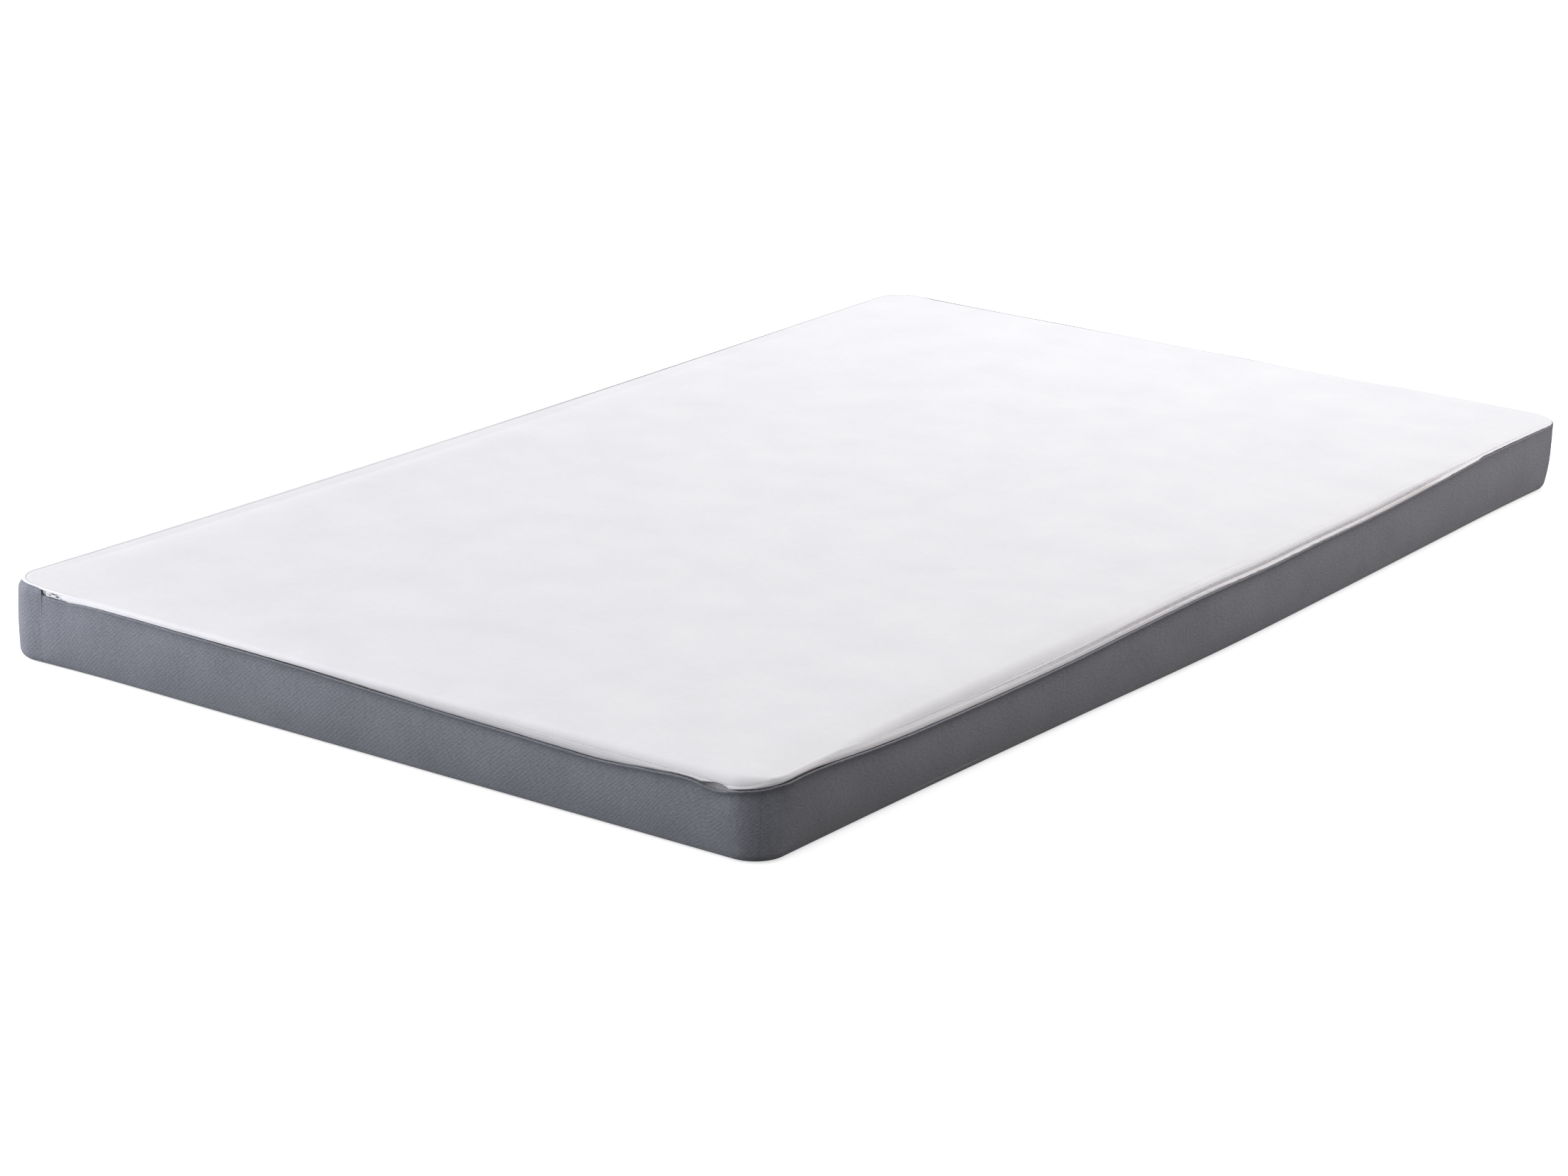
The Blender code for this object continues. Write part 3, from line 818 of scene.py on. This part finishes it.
def wall_depth(rows, t):
    """Depth of the wall from its foot (t 0) to its hem (t 1): a slight swell, then the hem's lean."""
    lean = eased((t - 0.5) / 0.5) * FLAP * flap_share(rows)
    set_in = max(8 * t - 7, 0) ** 2 * through(HEM_SET, rows[:, 3]) * MM
    swell = 1.0 * MM * math.sin(math.pi * min(t * 1.15, 1.0))
    return set_in + puckers(rows, 3, 0.25 * MM) * t**4 - lean - swell


def border_section(rows):
    """From the bottom seam, round the lower edge, up the wall, over the hem and down to the chain."""
    top = hem_line(rows)
    flap = flap_share(rows)
    fold = np.minimum(top, chain_line(rows) + 0.2 * MM + 12 * MM * plain_seam(rows))
    seams = (ZIP_START, FRONT_SEAM, REAR_SEAM, ZIP_END)
    dip = 0.2 * MM * sum(np.exp(-(((rows[:, 3] - s) / (1.2 * MM)) ** 2)) for s in seams)
    section = [(BOTTOM_ROUND + 1.6 * MM, 2.4 * MM), (BOTTOM_ROUND + 1.2 * MM, 0.9 * MM)]
    for i in range(7):
        turn = math.pi / 2 * i / 6
        depth, height = BOTTOM_ROUND * (1 - math.sin(turn)), BOTTOM_ROUND * (1 - math.cos(turn))
        section.append((depth + dip, height + 0.2 * MM))
    wall_top = top - 1.2 * MM
    for t in (0.08, 0.16, 0.25, 0.34, 0.43, 0.52, 0.61, 0.70, 0.79, 0.87, 0.91, 0.94, 0.97, 1.0):
        section.append((dip + wall_depth(rows, t), BOTTOM_ROUND + (wall_top - BOTTOM_ROUND) * t))
    crest = wall_depth(rows, 1.0)
    inset = through(HEM_SET, rows[:, 3]) * MM
    section.append((crest + 0.3 * MM, top - 0.3 * MM))
    section.append((crest + 0.9 * MM, top))
    section.append((crest + (1.8 - 0.05 * flap) * MM, top - (0.1 + 0.3 * flap) * MM))
    section.append((crest * (1 - flap) + (0.15 * flap + 2.3 * (1 - flap)) * MM, fold - 0.2 * MM))
    section.append((inset + 3.1 * MM, fold - 0.4 * MM))
    section.append((inset + 4.6 * MM, fold - 0.9 * MM))
    return section


def border():
    """The border's four strips, filled as one ring and cut at its seams."""
    offsets = np.array([-6, -3.5, -2.2, -1.4, -0.7, 0, 0.7, 1.4, 2.2, 3.5, 6]) * MM
    seams = np.array([ZIP_START, FRONT_SEAM, REAR_SEAM, ZIP_END])
    at = distances(0, PERIMETER, 6 * MM, 3 * MM, (seams[:, None] + offsets).ravel())[:-1]
    rows = rows_at(at)
    layers = np.array([place(rows, depth, height) for depth, height in border_section(rows)])
    ring = weave("ring", layers, at, MATERIALS["grey_twill"], closed=True)
    held = np.ones(layers.shape[:2], bool)
    held[6:-11] = np.abs(at[:, None] - seams).min(axis=1) < 5 * MM
    ring.vertex_groups.new(name="pinned").add(np.flatnonzero(held.ravel()).tolist(), 1.0, "REPLACE")
    inflate(ring, 6.0, 2.0 * MM)
    layers = coordinates(ring.data).reshape(layers.shape)
    bpy.data.objects.remove(ring)
    first, second, third, fourth = seams.round(7)
    spans = {
        "foot": np.flatnonzero((at >= first) & (at <= second)),
        "right": np.flatnonzero((at >= second) & (at <= third)),
        "head": np.flatnonzero((at >= third) & (at <= fourth)),
        "left": np.concatenate([np.flatnonzero(at >= fourth), np.flatnonzero(at <= first)]),
    }
    for side, span in spans.items():
        run_on = np.where((at[span] <= first) & (side == "left"), at[span] + PERIMETER, at[span])
        strip = weave(f"{side}_border_cloth", layers[:, span], run_on, MATERIALS["grey_twill"])
        thicken(strip, 0.65 * MM)
        finish(strip, "grey_twill", f"border_{side}")


def field(name, section, height, material, held_layers=0):
    """A panel: its edge section carried round the plan, and a grid that fills the flat field inside."""
    step = 10 * MM
    at = distances(0, PERIMETER, step, 4 * MM)[:-1]
    rim = carry(name, at, section, material, closed=True)
    rim.vertex_groups.new(name="pinned").add(list(range(len(at) * held_layers)), 1.0, "REPLACE")
    bm = bmesh.new()
    bm.from_mesh(rim.data)
    count_x, count_y = round(FOOT_RUN / step), round(SIDE_RUN / step)
    xs = np.linspace(-HALF_X, HALF_X, count_x + 1)
    ys = np.linspace(-HALF_Y, HALF_Y, count_y + 1)
    grid = [[bm.verts.new((x, y, height)) for x in xs] for y in ys]
    for j in range(count_y):
        for i in range(count_x):
            bm.faces.new((grid[j][i], grid[j][i + 1], grid[j + 1][i + 1], grid[j + 1][i])).smooth = True
    bmesh.ops.remove_doubles(bm, verts=bm.verts[:], dist=0.02 * MM)
    bm.to_mesh(rim.data)
    bm.free()
    return rim


def lip_room(rows):
    """The unit that the lip's fold is drawn in: 1 mm, or less where the lip is close to the top."""
    return np.minimum(1.0, (HEIGHT - lip_line(rows) - 0.9 * MM) / (2.8 * MM)) * MM


def rolled_edge(rows, rise):
    """Depth and height of the top panel's rolled edge, from the lip's fold (rise 0) to the field (1)."""
    inset = through(LIP_SET, rows[:, 3]) * MM
    roll = through(ROLL, rows[:, 3]) * MM
    foot = lip_line(rows) + 0.9 * lip_room(rows)
    lean = math.radians(35) * np.clip(inset / (4 * MM), 0, 1)
    sine = np.sin(lean) + (1 - np.sin(lean)) * rise
    depth = inset + roll * (1 - np.sqrt(np.maximum(1 - sine**2, 0)) / np.cos(lean))
    return depth, foot + (HEIGHT - foot) * rise


def top_section(rows):
    """The white panel's lip, which hangs over the chain, its rolled edge and its field's first rows."""
    lip = lip_line(rows)
    room = lip_room(rows)
    drop = lip_drop(rows)
    share = eased(drop / (1.5 * MM))
    gather = puckers(rows, 8, 0.22 * MM)
    inset = through(LIP_SET, rows[:, 3]) * MM
    section = [(inset + 4.3 * MM, lip + 2.8 * room), (inset + 2.6 * MM, lip + 2.6 * room)]
    section.append((inset + 1.7 * MM, lip + 2.0 * room))
    section.append((inset + (1.6 - 1.4 * share) * MM, lip + 0.8 * room))
    low = inset * (1 - share) + gather
    section.append(((1.3 - 1.2 * share) * MM + low, lip + 0.2 * room - drop))
    section.append(((0.8 - 1.3 * share) * MM + low, lip - 0.1 * room - drop))
    section.append(((0.3 - 1.4 * share) * MM + low, lip + 0.2 * room - drop))
    section.append(((0.2 - 1.2 * share) * MM + inset * 0.75 + gather, lip + 0.3 * room - 0.25 * drop))
    section.append(((0.1 + 0.25 * share) * MM + inset + gather, lip + 0.5 * room))
    for i in range(9):
        rise = math.sin(math.pi / 2 * i / 8)
        depth, height = rolled_edge(rows, rise)
        section.append((depth + gather * (1 - rise) ** 2, height))
    field_start, _ = rolled_edge(rows, 1.0)
    flat = CORNER_RADIUS - field_start
    return section + [(field_start + flat * part, HEIGHT) for part in (0.1, 0.25, 0.45, 0.7, 1.0)]


def top_sheet():
    """The white top panel, filled by the foam under it."""
    fold_and_roll = 18
    top = field("top_panel_cloth", top_section, HEIGHT, MATERIALS["white_knit"], fold_and_roll)
    inflate(top, 1.5, 2.5 * MM)
    thicken(top, 0.55 * MM)
    finish(top, "white_knit", "top_panel")


def base_section(rows):
    """The base cloth's edge, turned up into the seam with the border."""
    section = [(BOTTOM_ROUND + 1.9 * MM, 2.6 * MM), (BOTTOM_ROUND + 2.3 * MM, 0.9 * MM)]
    section += [(BOTTOM_ROUND + 3.2 * MM, 0.25 * MM), (BOTTOM_ROUND + 5.0 * MM, 0.05 * MM)]
    return section + [(depth * MM, 0.0) for depth in (20, 26, 34, 50)]


def base_sheet():
    """The grey base cloth under the mattress."""
    base = field("base_cloth", base_section, 0.0, MATERIALS["grey_backing"])
    bm = bmesh.new()
    bm.from_mesh(base.data)
    bmesh.ops.reverse_faces(bm, faces=bm.faces[:])
    bm.to_mesh(base.data)
    bm.free()
    thicken(base, 0.8 * MM)
    finish(base, "grey_backing", "bottom_panel")


def inner_pieces():
    """The foam, its liner and the seam tape, carried with the cover's bellied shape."""
    for name, slot_name in (
        ("support_foam_core", "support_foam"),
        ("memory_foam_layer", "memory_foam"),
        ("liner_lower", "liner_jersey"),
        ("liner_upper", "liner_jersey"),
        ("bottom_seam_tape", "grey_backing"),
    ):
        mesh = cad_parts[name].data.copy()
        bm = bmesh.new()
        bm.from_mesh(mesh)
        bmesh.ops.remove_doubles(bm, verts=bm.verts[:], dist=0.01 * MM)
        long_edges = [edge for edge in bm.edges if edge.calc_length() > 120 * MM]
        bmesh.ops.subdivide_edges(bm, edges=long_edges, cuts=15, use_grid_fill=True)
        bm.to_mesh(mesh)
        bm.free()
        shrunk = coordinates(mesh) * (0.997, 0.998, 0.985)
        mesh.vertices.foreach_set("co", bend(clear_of_rim(shrunk)).ravel())
        mesh.materials.clear()
        mesh.materials.append(MATERIALS[slot_name])
        mesh.shade_smooth()
        mesh.set_sharp_from_angle(angle=math.radians(40))
        piece = bpy.data.objects.new(f"{name}_fitted", mesh)
        bpy.context.scene.collection.objects.link(piece)
        finish(piece, slot_name, name)


# --- Zip ---


def zip_tapes():
    """The two woven tapes behind the coils."""
    at = distances(ZIP_START, ZIP_END, 8 * MM, 4 * MM)
    for name, low, high in (("zip_lower_tape", -7.0, 2.8), ("zip_upper_tape", 4.0, 8.0)):
        heights = np.linspace(low, high, 5) * MM
        tape = carry(
            f"{name}_cloth",
            at,
            lambda rows: [(TAPE_DEPTH, chain_line(rows) + rise) for rise in heights],
            MATERIALS["white_tape"],
        )
        thicken(tape, 0.5 * MM)
        finish(tape, "white_tape", name)


def zip_coils():
    """The two coils, each tooth a loop of monofilament, their heads meshed."""
    for name, rise, line, offset in (("zip_lower_coil", 1, 2.75, 0.0), ("zip_upper_coil", -1, 4.05, 0.5)):
        at = np.arange(CHAIN_START + COIL_PITCH * offset, CHAIN_END, COIL_PITCH)
        points, along, outward = row_axes(at, lambda rows: (COIL_DEPTH, chain_line(rows) + line * MM))
        coil = repeat(f"{name}_teeth", points, along, outward, tooth_shape(rise), MATERIALS["white_nylon"])
        finish(coil, "white_nylon", name)


def smoothed(loop, cuts=2):
    """A closed outline with its corners cut round."""
    for _ in range(cuts):
        pairs = zip(loop, loop[1:] + loop[:1])
        loop = [tuple(a[i] + t * (b[i] - a[i]) for i in (0, 1)) for a, b in pairs for t in (0.22, 0.78)]
    return loop


def plate(name, loops, depths, material, bevel=0.15 * MM):
    """A flat casting: outlines in (x, z), the first solid and the rest holes, between two depths."""
    curve = bpy.data.curves.new(name, "CURVE")
    curve.dimensions = "2D"
    curve.fill_mode = "BOTH"
    curve.extrude = (depths[1] - depths[0]) / 2 - bevel
    curve.bevel_depth = bevel
    curve.bevel_resolution = 2
    curve.offset = -bevel
    for loop in loops:
        spline = curve.splines.new("POLY")
        spline.points.add(len(loop) - 1)
        spline.use_cyclic_u = True
        for point, (x, z) in zip(spline.points, loop):
            point.co = (x, z, 0, 1)
    source = bpy.data.objects.new(name, curve)
    bpy.context.scene.collection.objects.link(source)
    depsgraph = bpy.context.evaluated_depsgraph_get()
    mesh = bpy.data.meshes.new_from_object(source.evaluated_get(depsgraph))
    bpy.data.objects.remove(source)
    # The outline was drawn flat: stand it up, its depth along +Y.
    stand = Matrix.Translation((0, (depths[0] + depths[1]) / 2, 0)) @ Matrix.Rotation(math.pi / 2, 4, "X")
    mesh.transform(stand)
    mesh.materials.clear()
    mesh.materials.append(material)
    piece = bpy.data.objects.new(name, mesh)
    bpy.context.scene.collection.objects.link(piece)
    return piece


def strap(name, path, half_width, thickness, material):
    """A strap bent along a path of (x, depth), as wide each side of the middle as half_width."""
    verts, faces = [], []
    path = np.array(path)
    ahead = np.gradient(path, axis=0)
    ahead /= np.linalg.norm(ahead, axis=1, keepdims=True)
    section = [(-0.5, -1.0), (-0.25, -1.0), (0.5, -0.6), (0.5, 0.6), (-0.25, 1.0), (-0.5, 1.0)]
    for (x, depth), (ax, ad) in zip(path, ahead):
        for out, side in section:
            verts.append((x + ad * out * thickness, depth - ax * out * thickness, side * half_width))
    count, sides = len(path), len(section)
    for i in range(count - 1):
        for k in range(sides):
            m = (k + 1) % sides
            faces.append((i * sides + k, (i + 1) * sides + k, (i + 1) * sides + m, i * sides + m))
    faces.append(tuple(range(sides)))
    faces.append(tuple(reversed(range((count - 1) * sides, count * sides))))
    return new_piece(name, verts, faces, material)


def joined(name, pieces, place_):
    """One object from several, moved to its place, with round edges kept smooth."""
    bm = bmesh.new()
    for piece in pieces:
        bm.from_mesh(piece.data)
        bpy.data.objects.remove(piece)
    bmesh.ops.remove_doubles(bm, verts=bm.verts[:], dist=0.002 * MM)
    bmesh.ops.recalc_face_normals(bm, faces=bm.faces[:])
    bmesh.ops.transform(bm, matrix=place_, verts=bm.verts[:])
    whole = new_piece(name, [], [], MATERIALS["white_enamel"])
    bm.to_mesh(whole.data)
    bm.free()
    whole.data.shade_smooth()
    whole.data.set_sharp_from_angle(angle=math.radians(42))
    return whole


def slider_place():
    """The slider's frame: X along the falling zip line, the outer plane at Y 0."""
    low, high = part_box("zip_slider")
    middle = (low + high) / 2
    tilt = math.atan(LINE_FALL / FOOT_RUN)
    return Matrix.Translation((middle.x, -HALF_LENGTH, middle.z)) @ Matrix.Rotation(tilt, 4, "Y")


def zip_hardware():
    """Slider and pull tab."""
    enamel = MATERIALS["white_enamel"]
    stand = slider_place()
    half = [(-5.25, 1.5), (-4.8, 2.6), (-3.8, 3.0), (-0.8, 2.95), (2.0, 2.75), (3.8, 2.6), (4.9, 2.3)]
    half += [(5.25, 1.5)]
    lower = [(x * MM, -z * MM) for x, z in half]
    outline = smoothed(lower + [(x, -z) for x, z in reversed(lower)])
    rear = [(x * 0.98, z * 0.98) for x, z in outline]
    bridge = [(-3.5, 2.5), (-3.45, 1.5), (-3.25, 0.95), (-2.8, 0.6), (-2.0, 0.55)]
    bridge = [(x * MM, d * MM) for x, d in bridge]
    bridge += [(-x, d) for x, d in reversed(bridge)]
    parts = [
        plate("front_plate", [outline], (2.0 * MM, 2.8 * MM), enamel, 0.2 * MM),
        plate("rear_plate", [rear], (5.8 * MM, 6.6 * MM), enamel, 0.2 * MM),
        strap("bridge", bridge, 0.7 * MM, 0.5 * MM, enamel),
    ]
    wedge = [(-4.9, -0.22), (-4.4, -0.34), (-3.1, 0.0), (-4.4, 0.34), (-4.9, 0.22)]
    wedge = smoothed([(x * MM, z * MM) for x, z in wedge], 1)
    parts.append(plate("wedge", [wedge], (2.6 * MM, 6.0 * MM), enamel, 0.04 * MM))
    for sign in (-1, 1):
        flange = [(-2.0, 2.9), (5.0, 2.4), (5.0, 2.18), (4.4, 2.18), (-2.0, 2.45)]
        flange = smoothed([(x * MM, sign * z * MM) for x, z in flange], 1)
        parts.append(plate("flange", [flange], (2.6 * MM, 4.3 * MM), enamel, 0.06 * MM))
    slider = joined("zip_slider_casting", parts, stand)
    finish(slider, "white_enamel", "zip_slider", body="zip_slider")

    half = [(-0.34, 1.2), (-0.3, 1.9), (1.0, 2.2), (4.4, 2.15), (6.6, 1.7), (11.5, 1.8), (17.6, 2.3)]
    half += [(20.8, 2.2), (21.8, 1.6), (22.0, 0.8)]
    lower = [(x * MM, -z * MM) for x, z in half]
    outline = smoothed(lower + [(x, -z) for x, z in reversed(lower)])
    holes = []
    for first, last, reach in ((0.42, 4.8, 1.3), (13.0, 19.0, 1.1)):
        hole = [(first, -reach), (last, -reach), (last, reach), (first, reach)]
        holes.append(smoothed([(x * MM, z * MM) for x, z in hole]))
    tab = plate("tab", [outline, *holes], (1.0 * MM, 1.8 * MM), enamel, 0.18 * MM)
    tab = joined("zip_pull_tab_casting", [tab], stand)
    finish(tab, "white_enamel", "zip_pull_tab", body="zip_pull_tab")


def zip_stops():
    """Moulded stops that close the ends of the chain."""
    for name in ("zip_start_stop", "zip_end_stop"):
        low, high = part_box(name)
        bm = bmesh.new()
        bmesh.ops.create_cube(bm, size=1.0)
        bmesh.ops.bevel(bm, geom=bm.edges[:], offset=0.22, segments=3, affect="EDGES")
        size, middle = high - low, (high + low) / 2
        for vert in bm.verts:
            vert.co = Vector(c * s for c, s in zip(vert.co, size)) + middle
        stop = new_piece(f"{name}_moulding", [], [], MATERIALS["white_nylon"])
        bm.to_mesh(stop.data)
        bm.free()
        stop.data.shade_smooth()
        finish(stop, "white_nylon", name)


# --- Sewing ---


def stitch_row(name, start, end, seat, pitch, slot_name, seed, down=False):
    """A row of lockstitches along the cover, standing out of the cloth or facing down."""
    at = np.arange(start, end, pitch) % PERIMETER
    points, along, outward = row_axes(at, seat)
    if down:
        outward = np.tile((0.0, 0.0, -1.0), (len(points), 1))
    shape = stitch_shape(0.8 * pitch, 0.5 * MM)
    row = repeat(name, points, along, outward, shape, MATERIALS[slot_name], 0.12, seed)
    finish(row, slot_name)


def stitching():
    """Topstitching under the hem and on the lip, and the base seam's row."""
    pitch = 3.4 * MM
    first, last = ZIP_START + 4 * MM, ZIP_END - 3 * MM

    def on_hem(rows):
        return wall_depth(rows, 1.0), hem_line(rows) - 3.2 * MM

    def on_lip(rows):
        return rolled_edge(rows, 0.12)

    def on_base(rows):
        return BOTTOM_ROUND + 4.4 * MM, 0.05 * MM

    stitch_row("hem_stitches", first, last, on_hem, pitch, "grey_backing", 4)
    stitch_row("lip_stitches", 0.0, PERIMETER - pitch, on_lip, pitch, "white_tape", 5)
    stitch_row("base_stitches", 0.0, PERIMETER - pitch, on_base, pitch, "grey_twill", 6, down=True)


def care_label():
    """A blank satin label, caught in the seam under the lip on the left side and hanging a little proud."""
    low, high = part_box("care_label")
    ys = np.linspace(high.y, low.y, 13)
    drops = np.linspace(0, 1, 19)
    points = []
    for drop in drops:
        for y in ys:
            across = (y - low.y) / (high.y - low.y) - 0.5
            curl = 3.2 * drop**2.2 * (0.7 + 0.5 * across)
            ripple = 0.5 * math.sin(5 * across + 4 * drop)
            proud = (0.5 + curl + ripple) * MM * min(1, 3 * drop)
            points.append((-HALF_WIDTH - proud, y, high.z - drop * (high.z - low.z)))
    points = np.array(points)
    wall = rows_at(LEFT_START + HALF_Y - points[:, 1])
    t = (points[:, 2] - BOTTOM_ROUND) / (hem_line(wall) - 1.2 * MM - BOTTOM_ROUND)
    points[:, 0] += [wall_depth(wall[i : i + 1], t[i])[0] for i in range(len(points))]
    points = bend(points)
    count = len(ys)
    faces = []
    for j in range(len(drops) - 1):
        for i in range(count - 1):
            faces.append((j * count + i, (j + 1) * count + i, (j + 1) * count + i + 1, j * count + i + 1))
    label = new_piece("care_label_ribbon", points, faces, MATERIALS["label_satin"])
    thicken(label, 0.35 * MM)
    finish(label, "label_satin", "care_label")


# --- Camera, floor and light ---


def floor():
    """A pale floor that lets only a faint contact shadow show."""
    material, tree, shader = new_material("pale_floor", Roughness=0.9)
    shader.inputs["Base Color"].default_value = (0.95, 0.95, 0.95, 1)
    shader.inputs["Emission Color"].default_value = (1, 1, 1, 1)
    shader.inputs["Emission Strength"].default_value = 0.62
    corners = [(-12, -12, -0.2 * MM), (12, -12, -0.2 * MM), (12, 12, -0.2 * MM), (-12, 12, -0.2 * MM)]
    ground = new_piece("floor", corners, [(0, 1, 2, 3)], material)
    ground.visible_diffuse = False
    ground.visible_glossy = False


def camera():
    """The eye: standing at the front right, looking down along the mattress."""
    data = bpy.data.cameras.new("camera")
    data.sensor_width = 36.0
    data.lens = 98.5
    data.clip_end = 50
    eye = bpy.data.objects.new("camera", data)
    bpy.context.scene.collection.objects.link(eye)
    bpy.context.scene.camera = eye
    spot = (3.2160, -4.6363, 1.7698)
    yaw, pitch, roll = -0.62003, 0.3098, 0.02154
    ahead = Vector((math.sin(yaw) * math.cos(pitch), math.cos(yaw) * math.cos(pitch), -math.sin(pitch)))
    right = Vector((math.cos(yaw), -math.sin(yaw), 0))
    up = right.cross(ahead)
    across = right * math.cos(roll) + up * math.sin(roll)
    upright = up * math.cos(roll) - right * math.sin(roll)
    turn = Matrix((across, upright, -ahead)).transposed()
    eye.matrix_world = Matrix.Translation(spot) @ turn.to_4x4()


def lamp(name, spot, target, size, power, colour="#ffffff"):
    """A soft rectangular light aimed at a point."""
    data = bpy.data.lights.new(name, "AREA")
    data.shape = "RECTANGLE"
    data.size, data.size_y = size
    data.energy = power
    data.color = linear(colour)[:3]
    light = bpy.data.objects.new(name, data)
    light.location = spot
    light.rotation_euler = (Vector(target) - Vector(spot)).to_track_quat("-Z", "Y").to_euler()
    bpy.context.scene.collection.objects.link(light)


def lighting():
    """Studio light: a surround, brightest above and to the left, and three lamps round the mattress."""
    world = bpy.data.worlds.new("studio")
    bpy.context.scene.world = world
    world.use_nodes = True
    tree = world.node_tree
    way = add(tree, "ShaderNodeTexCoord").outputs["Generated"]
    slope = add(tree, "ShaderNodeVectorMath", {0: way, 1: (-0.43, -0.13, 0.62)}, operation="DOT_PRODUCT")
    strength = maths(tree, "MAXIMUM", maths(tree, "ADD", slope.outputs["Value"], 0.47), 0.0)
    tree.links.new(strength, tree.nodes["Background"].inputs["Strength"])
    tree.nodes["Background"].inputs["Color"].default_value = (1, 1, 1, 1)
    lamp("foot_lamp", (-1.9, -1.9, 0.25), (-0.5, -1.0, 0.05), (0.8, 0.4), 27, "#f4f7ff")
    lamp("far_lamp", (3.0, 1.5, 0.25), (0.6, 0.9, 0.05), (0.8, 0.4), 33, "#fff6f0")
    lamp("back_lamp", (-0.3, 1.5, 1.6), (0.0, 0.6, 0.1), (1.2, 1.0), 9)
    bpy.context.scene.view_settings.view_transform = "Standard"


camera()
floor()
lighting()
inner_pieces()
base_sheet()
border()
zip_tapes()
zip_coils()
zip_stops()
zip_hardware()
stitching()
care_label()
top_sheet()
